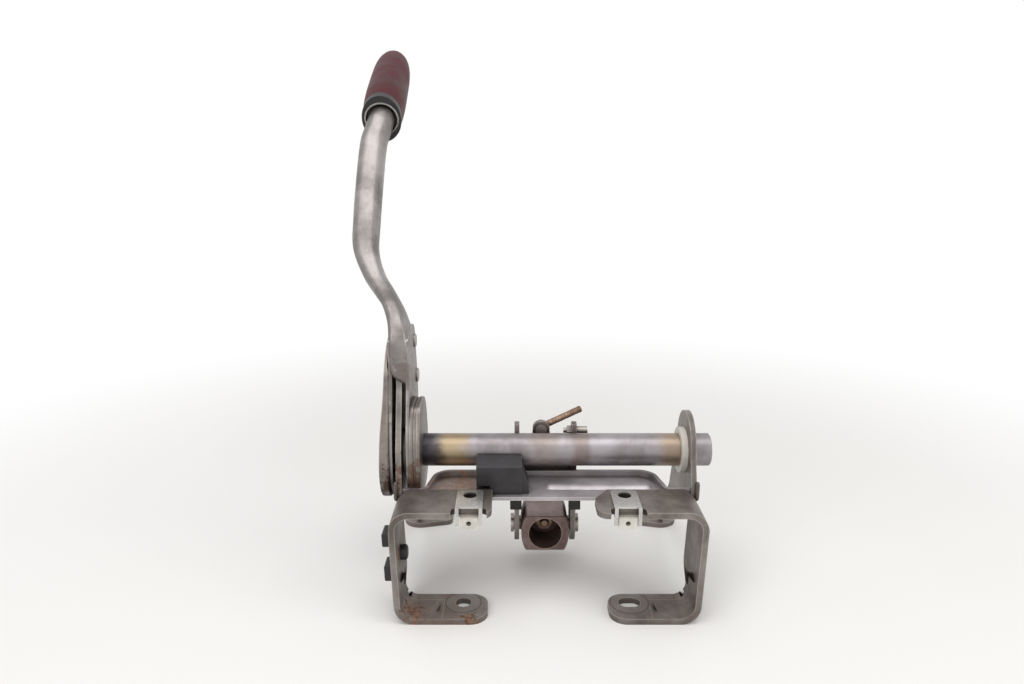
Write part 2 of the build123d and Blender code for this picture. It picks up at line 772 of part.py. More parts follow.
def release_rod():
    """Bent wire that carries the button's push down the arm to the pawl."""
    bends = [(-95.8, 8.7, AXIS_Z + 82.4), (-99.4, 14.4, AXIS_Z + 88.5)]
    bends += [entry[:3] for entry in ARM_PATH[2:-1:2]]
    bends += [grip_plane(6).origin, grip_plane(CORE_LENGTH - 0.2).origin]
    wire = Pos(*bends[0]) * Sphere(ROD_WIRE_R)
    for start, end in zip(bends, bends[1:]):
        run = Vector(*end) - Vector(*start)
        place = Plane(Vector(*start) + run / 2, z_dir=run)
        wire += place * Cylinder(ROD_WIRE_R, run.length)
        if end is not bends[-1]:
            wire += Pos(*end) * Sphere(ROD_WIRE_R)
    return wire


# Pawl and pins


def pawl():
    """Hooked pawl on its pivot, nose just clear of the ratchet's tips, tail under the rod."""
    py, pz = about_axis(PAWL_PIVOT_R, PAWL_PIVOT_ANGLE)
    ny, nz = about_axis(TIP_R + 0.35, NOSE_ANGLE)
    by, bz = about_axis(TIP_R + 3.6, NOSE_ANGLE - 3.0)
    oy, oz = about_axis(TIP_R + 8.0, NOSE_ANGLE + 2.0)
    body = side_sheet(
        [
            (py - 5.5, pz - 4.5, 4),
            (by, bz, 1.0),
            (ny, nz, 0),
            (oy, oz, 2),
            (py + 3, pz + 7, 5),
            (py - 9, pz + 7.5, 2),
            (py - 9.5, pz + 2, 2),
        ],
        -SIDE_OUT,
        -SIDE_IN,
    )
    return body - rod_x(PAWL_PIN_R + RUN_GAP, -110, -80, py, pz)


def headed_pin(y, z, radius, left, right):
    """Pin across the lever foot with a low domed head outside each cheek."""
    pin = rod_x(radius, left, right, y, z)
    for x, sign in ((left, -1), (right, 1)):
        head = rod_x(radius + 1.8, min(x, x + 1.6 * sign), max(x, x + 1.6 * sign), y, z)
        pin += head
    return pin


# Cable fork with its cup


def arm_outline():
    return [
        (2, AXIS_Z - 8, 0),
        (6, AXIS_Z, 0),
        (9, AXIS_Z + 14.5, 0),
        (17.5, AXIS_Z + 14.5, 3),
        (22, AXIS_Z - 6, 12),
        (27, TRUNNION_Z + 4, 10),
        (27, TRUNNION_Z - 12.5, 11),
        (3.5, TRUNNION_Z - 12.5, 11),
        (5.5, TRUNNION_Z + 8, 10),
        (5.5, AXIS_Z - 16, 4),
    ]


def cable_fork():
    """Two arms and a bridge pressed from one strip, seated on the back of the tube."""
    left1 = FORK_MID_X - ARM_IN
    left0 = left1 - FORK_SHEET
    right0 = FORK_MID_X + ARM_IN
    right1 = right0 + FORK_SHEET
    fork = side_sheet(arm_outline(), left0, left1) + side_sheet(arm_outline(), right0, right1)
    bridge = block(left0 + 1, right1 - 1, 8.0, 8.0 + FORK_SHEET, AXIS_Z - 32, AXIS_Z - 6)
    lug = front_sheet(
        [
            (LINK_X - 7, AXIS_Z - 10, 0),
            (LINK_X + 7, AXIS_Z - 10, 0),
            (LINK_X + 5.5, LINK_Z + 6, 5),
            (LINK_X - 5.5, LINK_Z + 6, 5),
        ],
        LINK_Y,
        LINK_Y + FORK_SHEET,
    )
    lug += block(LINK_X - 7, LINK_X + 7, 8.5, LINK_Y + FORK_SHEET, AXIS_Z - 13, AXIS_Z - 9.6)
    fork += bridge + lug
    fork -= rod_x(TUBE_R, -60, 60, 0, AXIS_Z)
    fork -= rod_x(TRUNNION_R + RUN_GAP, -60, 60, TRUNNION_Y, TRUNNION_Z)
    fork -= rod_x(EAR_BOLT_R, right0 - 5, right1 + 5, EAR_Y, EAR_Z)
    fork -= rod_y(LINK_PIN_R, LINK_Y - 5, LINK_Y + 10, LINK_X, LINK_Z)
    return fork


def cup():
    """Trunnion block: flat top and bottom, bulged sides, deep cup facing the rear of the car."""
    x0 = FORK_MID_X - CUP_HALF_W
    x1 = FORK_MID_X + CUP_HALF_W
    z0 = TRUNNION_Z - CUP_HALF_H
    z1 = TRUNNION_Z + CUP_HALF_H
    outline = Wire(
        [
            Line((x0, z0), (x1, z0)),
            ThreePointArc((x1, z0), (x1 + CUP_BULGE, TRUNNION_Z), (x1, z1)),
            Line((x1, z1), (x0, z1)),
            ThreePointArc((x0, z1), (x0 - CUP_BULGE, TRUNNION_Z), (x0, z0)),
        ]
    )
    body = extrude(front_plane(CUP_FRONT_Y) * make_face(outline), CUP_FRONT_Y - CUP_BACK_Y)
    body = fillet(body.edges().filter_by(Axis.Y), 2.2)
    rims = body.edges().filter_by(lambda e: abs(e.center().Y - CUP_FRONT_Y) < 0.01)
    body = chamfer(rims, 0.7)
    body -= rod_y(CUP_R, CUP_FRONT_Y - 1, CUP_BACK_Y - 6, FORK_MID_X, TRUNNION_Z)
    body -= rod_y(ROD_R + 0.35, 0, CUP_BACK_Y + 5, FORK_MID_X, TRUNNION_Z)
    return body - rod_x(TRUNNION_R, -40, 40, TRUNNION_Y, TRUNNION_Z)


def trunnion_pins():
    """Short pin pressed into each side of the cup, headed outside the fork arm."""
    pins = []
    for side in (-1, 1):
        inner = FORK_MID_X + side * (CUP_R + 0.6)
        neck = FORK_MID_X + side * (ARM_IN + FORK_SHEET + MOVE_GAP)
        end = neck + side * 2.2
        collar = FORK_MID_X + side * (ARM_IN - MOVE_GAP)
        pin = rod_x(TRUNNION_R, min(inner, end), max(inner, end), TRUNNION_Y, TRUNNION_Z)
        pin += rod_x(TRUNNION_R + 1.6, min(neck, end), max(neck, end), TRUNNION_Y, TRUNNION_Z)
        # The pin stops short of the cup's bore
        pin -= rod_y(CUP_R + 0.6, CUP_FRONT_Y, CUP_BACK_Y, FORK_MID_X, TRUNNION_Z)
        pins.append(pin)
    return Compound(pins)


def adjuster_nut():
    """Hexagon nut seated on the cup's inner floor."""
    floor_y = CUP_BACK_Y - 6
    height = 7.0
    hexagon = RegularPolygon(radius=5.0, side_count=6, major_radius=False)
    nut = extrude(front_plane(floor_y) * Pos(FORK_MID_X, TRUNNION_Z) * hexagon, height)
    nut += rod_y(7.4, floor_y - 1.6, floor_y, FORK_MID_X, TRUNNION_Z)
    return nut - rod_y(ROD_R + RUN_GAP, floor_y - 20, floor_y + 5, FORK_MID_X, TRUNNION_Z)


def pull_rod():
    """Threaded rod through the cup's floor, with its flattened eye at the far end."""
    near = CUP_BACK_Y - 6 - 9.5
    far = CUP_BACK_Y + 30
    rod = rod_y(ROD_R, near, far, FORK_MID_X, TRUNNION_Z)
    rod = chamfer(rod.edges().filter_by(GeomType.CIRCLE), 0.8)
    for k in range(7):
        y = CUP_BACK_Y + 3 + 2.2 * k
        groove = rod_y(ROD_R + 1, y, y + 0.8, FORK_MID_X, TRUNNION_Z)
        groove -= rod_y(ROD_R - 0.5, y - 1, y + 2, FORK_MID_X, TRUNNION_Z)
        rod -= groove
    eye = rod_x(6.0, FORK_MID_X - 2.5, FORK_MID_X + 2.5, far + 3, TRUNNION_Z)
    return rod + eye - rod_x(3.0, -20, 20, far + 3.6, TRUNNION_Z)


def arm_bumpers():
    """Black stop pads clipped over the front edge of each fork arm."""
    pads = []
    for side in (-1, 1):
        inner = FORK_MID_X + side * ARM_IN
        outer = inner + side * FORK_SHEET
        lo = min(inner - side * 1.6, outer + side * 3.0)
        hi = max(inner - side * 1.6, outer + side * 3.0)
        pad = block(lo, hi, 1.4, 7.6, AXIS_Z - 45.5, AXIS_Z - 26)
        pad = fillet(pad.edges().filter_by(Axis.Z), 0.8)
        arm = side_sheet(arm_outline(), min(inner, outer), max(inner, outer))
        pads.append(pad - arm)
    return Compound(pads)


def link_stud():
    """Threaded stud with an eye, lying to the right across the back of the tube."""
    y0 = LINK_Y + FORK_SHEET + MOVE_GAP
    y1 = y0 + EYE_THICK
    mid = (y0 + y1) / 2
    eye = rod_y(4.6, y0, y1, 0, 0)
    shank = rod_x(2.3, 2.5, 31, mid, 0)
    shank = chamfer(shank.edges().filter_by(GeomType.CIRCLE).sort_by(Axis.X)[-1:], 0.7)
    for k in range(9):
        x = 9 + 2.3 * k
        ring = rod_x(4, x, x + 0.8, mid, 0) - rod_x(1.9, x - 1, x + 2, mid, 0)
        shank -= ring
    stud = eye + shank - rod_y(LINK_PIN_R + RUN_GAP, y0 - 5, y1 + 5, 0, 0)
    return Pos(LINK_X, 0, LINK_Z) * Rot(0, -LINK_SLOPE, 0) * stud


def link_pin():
    """Shouldered pin that holds the stud's eye to the lug, round head towards the viewer."""
    back = LINK_Y + FORK_SHEET + MOVE_GAP + EYE_THICK + MOVE_GAP
    pin = rod_y(LINK_PIN_R, LINK_Y - 1.5, back + 1.6, LINK_X, LINK_Z)
    pin += rod_y(3.8, LINK_Y - 1.5, LINK_Y, LINK_X, LINK_Z)
    return pin + rod_y(3.6, back, back + 1.6, LINK_X, LINK_Z)


def ear_bolt():
    right = FORK_MID_X + ARM_IN + FORK_SHEET
    bolt = rod_x(EAR_BOLT_R, right - 9, right + 2, EAR_Y, EAR_Z)
    return bolt + rod_x(2.9, right, right + 7.6, EAR_Y, EAR_Z)


def ear_nut():
    right = FORK_MID_X + ARM_IN
    hexagon = RegularPolygon(radius=2.9, side_count=6, major_radius=False)
    nut = extrude(side_plane(right - 3.2) * Pos(EAR_Y, EAR_Z) * hexagon, 3.2)
    return nut - rod_x(EAR_BOLT_R, right - 6, right + 2, EAR_Y, EAR_Z)


def switch_cam():
    """Fin on the tube that holds the switch plunger in while the lever is down."""
    reach = 14.6
    y_face = PLUNGER_TIP_Y + MOVE_GAP
    fin = side_sheet(
        [
            (y_face, AXIS_Z - 4, 0),
            (y_face, AXIS_Z - reach, 0.6),
            (y_face + 2.2, AXIS_Z - reach, 0.6),
            (y_face + 4.5, AXIS_Z - 6, 0),
        ],
        PLUNGER_X - 4,
        PLUNGER_X + 4,
    )
    return fin - rod_x(TUBE_R, -60, 0, 0, AXIS_Z)


# Warning lamp switch


def switch_body():
    """Moulded box: sloping top, stepped wing on the right, connector mouth low on the left."""
    front = SWITCH_FRONT_Y
    back = SWITCH_BACK_Y
    profile = [
        (front, WEB_TOP_Z, 0.8),
        (back, WEB_TOP_Z, 0.8),
        (back, SWITCH_TOP_Z + 2.4, 1.2),
        (front, SWITCH_TOP_Z, 1.2),
    ]
    body = side_sheet(profile, SWITCH_X0, SWITCH_X1)
    wing = front_sheet(
        [
            (SWITCH_X1 - 2, WEB_TOP_Z, 0),
            (SWITCH_X1 + 4.6, WEB_TOP_Z, 0.6),
            (SWITCH_X1 + 4.6, WEB_TOP_Z + 6, 3),
            (SWITCH_X1 - 0.2, SWITCH_TOP_Z - 0.6, 1.5),
            (SWITCH_X1 - 2, SWITCH_TOP_Z - 0.6, 0),
        ],
        front + 1.0,
        back - 2,
    )
    body += wing
    mouth = block(SWITCH_X0 - 1, SWITCH_X0 + 12.2, front + 2.0, back - 3.0, WEB_TOP_Z + 2.2, WEB_TOP_Z + 9.5)
    notch = block(SWITCH_X0 - 1, SWITCH_X0 + 9.0, front - 1, front + 5.0, WEB_TOP_Z - 1, WEB_TOP_Z + 6.2)
    body -= mouth
    body -= notch
    tunnel = rod_y(PLUNGER_R + RUN_GAP, back - 7.5, back + 1, PLUNGER_X, PLUNGER_Z)
    well = rod_y(PLUNGER_R + 1.4, back - 7.5, back - 2.0, PLUNGER_X, PLUNGER_Z)
    body -= tunnel + well
    for x in (SWITCH_X0 + 7, SWITCH_X1 - 7):
        body += rod_z(2.6, WEB_TOP_Z - WEB_SHEET - 1.6, WEB_TOP_Z + 0.5, x, -20)
        body += rod_z(3.3, WEB_TOP_Z - WEB_SHEET - 1.6, WEB_TOP_Z - WEB_SHEET, x, -20)
    return body


def switch_terminals():
    x0 = SWITCH_X0 + 2.0
    x1 = SWITCH_X0 + 12.2
    blades = []
    for y in (-22.6, -17.6):
        blades.append(block(x0, x1, y - 0.4, y + 0.4, WEB_TOP_Z + 3.6, WEB_TOP_Z + 8.2))
    return Compound(blades)


def switch_plunger():
    back = SWITCH_BACK_Y
    stem = rod_y(PLUNGER_R, back - 4.4, PLUNGER_TIP_Y - 1.0, PLUNGER_X, PLUNGER_Z)
    tip = Pos(PLUNGER_X, PLUNGER_TIP_Y - PLUNGER_R, PLUNGER_Z) * Sphere(PLUNGER_R)
    return stem + (tip & block(-60, 0, back, 10, 60, 100))


def switch_spring():
    """Small coil behind the plunger."""
    length = 2.5
    turns = Helix(pitch=1.1, height=length, radius=1.7)
    wire = Wire(turns.edges())
    start = Plane(wire @ 0, z_dir=wire % 0)
    coil = sweep(start * Circle(0.22), path=wire)
    return Pos(PLUNGER_X, SWITCH_BACK_Y - 7.2, PLUNGER_Z) * Rot(-90, 0, 0) * coil


# Every piece, one file each

save("left_bracket", left_bracket())
save("right_bracket", right_bracket())
save("cross_plate", cross_plate())
save("right_side_plate", right_side_plate())
save("ratchet_plate", ratchet_plate())
save("left_rear_foot", rear_foot(-1))
save("right_rear_foot", rear_foot(1))
save("right_bush", bush(SIDE_IN, SIDE_OUT, 3.8, 1.8, True))
save("left_bush", bush(-SIDE_OUT, -SIDE_IN, 1.5, 1.5, False))
save("harness_clip", harness_clip())
save("clip_nuts", Compound([clip_nut(-1), clip_nut(1)]))
save("clip_inserts", Compound([clip_insert(-1), clip_insert(1)]))
save("left_weld", weld_seam(-1))
save("right_weld", weld_seam(1))
save("cross_tube", cross_tube())
save("left_cheek", left_cheek())
save("right_cheek", right_cheek())
save("arm_foot", arm_foot())
save("lever_arm", lever_arm())
save("grip", grip())
save("grip_collar", grip_collar())
save("grip_ring", grip_ring())
save("release_button", release_button())
save("button_spring", button_spring())
save("release_rod", release_rod())
save("pawl", pawl())
pivot_y, pivot_z = about_axis(PAWL_PIVOT_R, PAWL_PIVOT_ANGLE)
stop_y, stop_z = about_axis(STOP_R, STOP_ANGLE)
cheeks = (ARM_LEFT - CHEEK_SHEET, ARM_RIGHT + CHEEK_SHEET)
save("pawl_pin", headed_pin(pivot_y, pivot_z, PAWL_PIN_R, *cheeks))
save("stop_pin", headed_pin(stop_y, stop_z, STOP_PIN_R, *cheeks))
save("cable_fork", cable_fork())
save("cup", cup())
save("trunnion_pins", trunnion_pins())
save("adjuster_nut", adjuster_nut())
save("pull_rod", pull_rod())
save("arm_bumpers", arm_bumpers())
save("link_stud", link_stud())
save("link_pin", link_pin())
save("ear_bolt", ear_bolt())
save("ear_nut", ear_nut())
save("switch_cam", switch_cam())
save("switch_body", switch_body())
save("switch_terminals", switch_terminals())
save("switch_plunger", switch_plunger())
save("switch_spring", switch_spring())
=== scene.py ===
import json
import math

import bmesh
import bpy
import numpy as np
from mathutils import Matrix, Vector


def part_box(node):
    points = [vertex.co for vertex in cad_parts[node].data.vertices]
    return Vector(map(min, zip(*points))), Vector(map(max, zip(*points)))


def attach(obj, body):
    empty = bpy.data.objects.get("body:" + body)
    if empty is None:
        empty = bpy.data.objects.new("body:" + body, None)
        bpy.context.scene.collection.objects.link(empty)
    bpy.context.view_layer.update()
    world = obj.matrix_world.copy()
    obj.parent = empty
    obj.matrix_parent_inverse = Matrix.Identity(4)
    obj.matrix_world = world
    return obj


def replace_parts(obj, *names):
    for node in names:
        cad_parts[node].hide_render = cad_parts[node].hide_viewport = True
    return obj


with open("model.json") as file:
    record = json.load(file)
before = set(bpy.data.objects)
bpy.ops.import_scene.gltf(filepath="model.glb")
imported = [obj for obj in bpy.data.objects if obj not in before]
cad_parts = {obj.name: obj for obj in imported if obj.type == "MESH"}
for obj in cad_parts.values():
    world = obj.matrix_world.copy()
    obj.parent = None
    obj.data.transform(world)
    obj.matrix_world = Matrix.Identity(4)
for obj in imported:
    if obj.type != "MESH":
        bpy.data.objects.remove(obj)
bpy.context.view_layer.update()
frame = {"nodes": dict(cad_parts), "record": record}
nodes = frame["nodes"]
mm = 0.001


# Node groups shared by the materials

def newGroup(name, inputs, outputs):
    group = bpy.data.node_groups.new(name, "ShaderNodeTree")
    for label, kind, value in inputs:
        socket = group.interface.new_socket(label, in_out="INPUT", socket_type=kind)
        socket.default_value = value
    for label, kind in outputs:
        group.interface.new_socket(label, in_out="OUTPUT", socket_type=kind)
    return group, group.nodes.new("NodeGroupInput"), group.nodes.new("NodeGroupOutput")


def add(tree, kind, settings=(), **inputs):
    # a node with its plain inputs set and its linked inputs joined
    node = tree.nodes.new(kind)
    for key, value in dict(settings).items():
        setattr(node, key, value)
    for key, value in inputs.items():
        name = key.replace("_", " ")
        target = node.inputs[int(key[1:])] if key[1:].isdigit() else node.inputs[name]
        if isinstance(value, bpy.types.NodeSocket):
            tree.links.new(value, target)
        else:
            target.default_value = value
    return node


def ramp(tree, value, low, high, toLow=0.0, toHigh=1.0):
    node = add(tree, "ShaderNodeMapRange", {"interpolation_type": "SMOOTHSTEP"}, Value=value)
    node.inputs["From Min"].default_value = low
    node.inputs["From Max"].default_value = high
    node.inputs["To Min"].default_value = toLow
    node.inputs["To Max"].default_value = toHigh
    return node.outputs["Result"]


def math2(tree, operation, a, b):
    return add(tree, "ShaderNodeMath", {"operation": operation}, _0=a, _1=b).outputs[0]


def mix(tree, factor, a, b, blend="MIX"):
    node = add(tree, "ShaderNodeMix", {"data_type": "RGBA", "blend_type": blend})
    for socket, value in ((node.inputs[0], factor), (node.inputs[6], a), (node.inputs[7], b)):
        if isinstance(value, bpy.types.NodeSocket):
            tree.links.new(value, socket)
        else:
            socket.default_value = value
    return node.outputs[2]


def patchGroup():
    # mask = 1 inside a ragged patch: distance to the centre, pushed about by noise
    group, given, made = newGroup(
        "raggedPatch",
        [
            ("Centre", "NodeSocketVector", (0, 0, 0)),
            ("Reach", "NodeSocketFloat", 0.02),
            ("Grain", "NodeSocketFloat", 160.0),
        ],
        [("Mask", "NodeSocketFloat")],
    )
    place = add(group, "ShaderNodeTexCoord").outputs["Object"]
    centre = given.outputs["Centre"]
    far = add(group, "ShaderNodeVectorMath", {"operation": "DISTANCE"}, _0=place, _1=centre)
    share = math2(group, "DIVIDE", far.outputs["Value"], given.outputs["Reach"])
    grain = given.outputs["Grain"]
    noise = add(group, "ShaderNodeTexNoise", Vector=place, Scale=grain, Detail=8.0, Roughness=0.65)
    push = ramp(group, noise.outputs["Fac"], 0.3, 0.7, -0.75, 0.75)
    ragged = math2(group, "ADD", share, push)
    group.links.new(ramp(group, ragged, 0.95, 0.65), made.inputs["Mask"])
    return group


def speckGroup():
    # small spots all over, thinned by a broad noise
    group, given, made = newGroup(
        "specks",
        [("Size", "NodeSocketFloat", 900.0), ("Amount", "NodeSocketFloat", 0.5)],
        [("Mask", "NodeSocketFloat")],
    )
    place = add(group, "ShaderNodeTexCoord").outputs["Object"]
    size = given.outputs["Size"]
    fine = add(group, "ShaderNodeTexNoise", Vector=place, Scale=size, Detail=4.0, Roughness=0.7)
    broad = add(group, "ShaderNodeTexNoise", Vector=place, Scale=55.0, Detail=3.0)
    share = math2(group, "MULTIPLY", given.outputs["Amount"], broad.outputs["Fac"])
    level = math2(group, "SUBTRACT", 0.86, share)
    over = math2(group, "SUBTRACT", fine.outputs["Fac"], level)
    group.links.new(ramp(group, over, 0.0, 0.06), made.inputs["Mask"])
    return group


def wearAndShadeGroup():
    # edge = how far a rounded normal leans from the real one, hollow shade = how little open air is near,
    # the amount of painted shade for hollows
    group, given, made = newGroup(
        "edgeWearAndShade",
        [("Width", "NodeSocketFloat", 0.0012), ("Break", "NodeSocketFloat", 0.4)],
        [("Edge", "NodeSocketFloat"), ("HollowShade", "NodeSocketFloat")],
    )
    soft = add(group, "ShaderNodeBevel", {"samples": 6}, Radius=given.outputs["Width"])
    plain = add(group, "ShaderNodeNewGeometry")
    both = {"_0": soft.outputs["Normal"], "_1": plain.outputs["Normal"]}
    lean = add(group, "ShaderNodeVectorMath", {"operation": "DOT_PRODUCT"}, **both)
    place = add(group, "ShaderNodeTexCoord").outputs["Object"]
    noise = add(group, "ShaderNodeTexNoise", Vector=place, Scale=260.0, Detail=6.0)
    broken = math2(group, "MULTIPLY", noise.outputs["Fac"], given.outputs["Break"])
    edge = math2(group, "SUBTRACT", ramp(group, lean.outputs["Value"], 0.995, 0.9), broken)
    group.links.new(ramp(group, edge, 0.0, 0.6), made.inputs["Edge"])
    shade = add(group, "ShaderNodeAmbientOcclusion", {"samples": 6}, Distance=0.012)
    group.links.new(ramp(group, shade.outputs["AO"], 0.75, 0.25), made.inputs["HollowShade"])
    return group


def ringGroup():
    # mask = 1 on a thin circle about a vertical line, where a washer has pressed
    group, given, made = newGroup(
        "pressedRing",
        [
            ("Centre", "NodeSocketVector", (0, 0, 0)),
            ("Radius", "NodeSocketFloat", 0.0105),
            ("Width", "NodeSocketFloat", 0.0006),
        ],
        [("Mask", "NodeSocketFloat"), ("Inside", "NodeSocketFloat")],
    )
    place = add(group, "ShaderNodeTexCoord").outputs["Object"]
    centre = given.outputs["Centre"]
    away = add(group, "ShaderNodeVectorMath", {"operation": "SUBTRACT"}, _0=place, _1=centre)
    flat = add(group, "ShaderNodeVectorMath", {"operation": "MULTIPLY"}, _0=away.outputs[0], _1=(1, 1, 0))
    far = add(group, "ShaderNodeVectorMath", {"operation": "LENGTH"}, _0=flat.outputs[0]).outputs["Value"]
    past = math2(group, "SUBTRACT", far, given.outputs["Radius"])
    off = math2(group, "ABSOLUTE", past, 0.0)
    share = math2(group, "DIVIDE", off, given.outputs["Width"])
    height = add(group, "ShaderNodeSeparateXYZ", Vector=away.outputs[0]).outputs["Z"]
    level = ramp(group, math2(group, "ABSOLUTE", height, 0.0), 0.004, 0.003)
    inside = ramp(group, past, 0.0005, -0.0005)
    group.links.new(math2(group, "MULTIPLY", ramp(group, share, 1.0, 0.3), level), made.inputs["Mask"])
    group.links.new(math2(group, "MULTIPLY", inside, level), made.inputs["Inside"])
    return group


groups = {"patch": patchGroup(), "specks": speckGroup(), "wearAndShade": wearAndShadeGroup(), "ring": ringGroup()}


def use(tree, name, **inputs):
    node = add(tree, "ShaderNodeGroup", {"node_tree": groups[name]})
    for key, value in inputs.items():
        if isinstance(value, bpy.types.NodeSocket):
            tree.links.new(value, node.inputs[key])
        else:
            node.inputs[key].default_value = value
    return node.outputs


print("stage: groups")


# Materials

def startMaterial(name):
    material = bpy.data.materials.new(name)
    material.use_nodes = True
    tree = material.node_tree
    tree.nodes.clear()
    shader = tree.nodes.new("ShaderNodeBsdfPrincipled")
    output = tree.nodes.new("ShaderNodeOutputMaterial")
    tree.links.new(shader.outputs[0], output.inputs[0])
    return material, tree, shader


def colour(r, g, b):
    # a screen colour, 0 to 255, turned to amounts of light by the usual screen curve
    light = [((c / 255 + 0.055) / 1.055) ** 2.4 if c > 10 else c / 3295 for c in (r, g, b)]
    return (*light, 1.0)


def steel(spec):
    # clouded metal with pale worn edges, painted shade in hollows, and rust, stained patches, patches of
    # painted shade, washer rings edged with painted shade, and heat where told
    material, tree, shader = startMaterial(spec["name"])
    place = add(tree, "ShaderNodeTexCoord").outputs["Object"]
    wearAndShade = use(tree, "wearAndShade", Width=spec.get("edge", 0.0012))
    broad = add(tree, "ShaderNodeTexNoise", Vector=place, Scale=38.0, Detail=7.0, Roughness=0.62)
    stretched = add(tree, "ShaderNodeMapping", Vector=place, Scale=spec.get("grain", (300, 300, 40)))
    along = stretched.outputs[0]
    hair = add(tree, "ShaderNodeTexNoise", Vector=along, Scale=6.0, Detail=5.0, Roughness=0.6)
    tint = mix(tree, ramp(tree, broad.outputs["Fac"], 0.32, 0.68), spec["dark"], spec["light"])
    tint = mix(tree, math2(tree, "MULTIPLY", wearAndShade["Edge"], 0.65), tint, spec["worn"])
    # painted shade: the colour goes toward the shade tone where little open air is near
    hollowShade = math2(tree, "MULTIPLY", wearAndShade["HollowShade"], spec.get("hollowShade", 0.75))
    tint = mix(tree, hollowShade, tint, spec["shadeAndPoreTone"])
    dull = ramp(tree, hair.outputs["Fac"], 0.3, 0.7, spec["rough"] - 0.07, spec["rough"] + 0.09)
    specks = use(tree, "specks", Size=800.0, Amount=spec.get("specks", 0.35))["Mask"]
    mask = math2(tree, "MULTIPLY", specks, 0.7)
    for centre, reach, grain in spec.get("rust", ()):
        patch = use(tree, "patch", Centre=centre, Reach=reach, Grain=grain)["Mask"]
        mask = math2(tree, "MAXIMUM", mask, patch)
    rustNoise = add(tree, "ShaderNodeTexNoise", Vector=place, Scale=420.0, Detail=6.0)
    rustCloud = ramp(tree, rustNoise.outputs["Fac"], 0.35, 0.65)
    rust = mix(tree, rustCloud, colour(78, 50, 36), colour(134, 98, 74))
    tint = mix(tree, mask, tint, rust)
    for tintedPatch in spec.get("stainsAndShade", ()):
        # one colour laid over a ragged patch, still metal below; some patches are stained spots and some
        # are painted shade
        patchShare = use(tree, "patch", Centre=tintedPatch["at"], Reach=tintedPatch["reach"], Grain=tintedPatch["grain"])["Mask"]
        tint = mix(tree, math2(tree, "MULTIPLY", patchShare, tintedPatch["depth"]), tint, tintedPatch["tint"])
    scratches = math2(tree, "MULTIPLY", hair.outputs["Fac"], 0.35)
    height = math2(tree, "ADD", scratches, math2(tree, "MULTIPLY", mask, 0.8))
    for centre, radius in spec.get("rings", ()):
        ring = use(tree, "ring", Centre=centre, Radius=radius)
        tint = mix(tree, math2(tree, "MULTIPLY", ring["Inside"], 0.25), tint, spec["light"])
        # painted shade: a dark line along the pressed ring, beside the groove bumped in below
        tint = mix(tree, math2(tree, "MULTIPLY", ring["Mask"], 0.6), tint, spec["shadeAndPoreTone"])
        height = math2(tree, "SUBTRACT", height, math2(tree, "MULTIPLY", ring["Mask"], 1.6))
    for stop in spec.get("heat", ()):
        # a tint that fades with distance from a place along X
        run = add(tree, "ShaderNodeSeparateXYZ", Vector=place).outputs["X"]
        off = math2(tree, "ABSOLUTE", math2(tree, "SUBTRACT", run, stop["x"]), 0.0)
        wobble = ramp(tree, broad.outputs["Fac"], 0.3, 0.7, -0.2, 0.2)
        share = math2(tree, "ADD", math2(tree, "DIVIDE", off, stop["reach"]), wobble)
        depth = math2(tree, "MULTIPLY", ramp(tree, share, 1.0, 0.35), stop["depth"])
        tint = mix(tree, depth, tint, stop["tint"])
    bump = add(tree, "ShaderNodeBump", Height=height, Strength=spec.get("bump", 0.25), Distance=0.0002)
    dull = math2(tree, "MAXIMUM", dull, math2(tree, "MULTIPLY", mask, 0.75))
    metal = math2(tree, "MULTIPLY", ramp(tree, mask, 0.0, 0.8, 1.0, 0.0), spec.get("metal", 0.85))
    tree.links.new(tint, shader.inputs["Base Color"])
    tree.links.new(dull, shader.inputs["Roughness"])
    tree.links.new(metal, shader.inputs["Metallic"])
    tree.links.new(bump.outputs[0], shader.inputs["Normal"])
    return material


def plastic(spec):
    # clouded plastic with a pebbled skin
    material, tree, shader = startMaterial(spec["name"])
    place = add(tree, "ShaderNodeTexCoord").outputs["Object"]
    wearAndShade = use(tree, "wearAndShade", Width=0.0007)
    cloud = add(tree, "ShaderNodeTexNoise", Vector=place, Scale=90.0, Detail=6.0)
    pebble = add(tree, "ShaderNodeTexVoronoi", Vector=place, Scale=spec.get("pebble", 2200.0))
    tint = mix(tree, ramp(tree, cloud.outputs["Fac"], 0.35, 0.65), spec["dark"], spec["light"])
    tint = mix(tree, math2(tree, "MULTIPLY", wearAndShade["Edge"], 0.5), tint, spec["worn"])
    # painted shade: darker toward the shade tone where little open air is near
    tint = mix(tree, math2(tree, "MULTIPLY", wearAndShade["HollowShade"], 0.4), tint, spec["shadeAndPoreTone"])
    skin = {"Height": pebble.outputs["Distance"], "Strength": spec.get("bump", 0.15), "Distance": 0.00015}
    bump = add(tree, "ShaderNodeBump", **skin)
    dull = ramp(tree, cloud.outputs["Fac"], 0.3, 0.7, spec["rough"] - 0.06, spec["rough"] + 0.08)
    tree.links.new(tint, shader.inputs["Base Color"])
    tree.links.new(dull, shader.inputs["Roughness"])
    tree.links.new(bump.outputs[0], shader.inputs["Normal"])
    return material


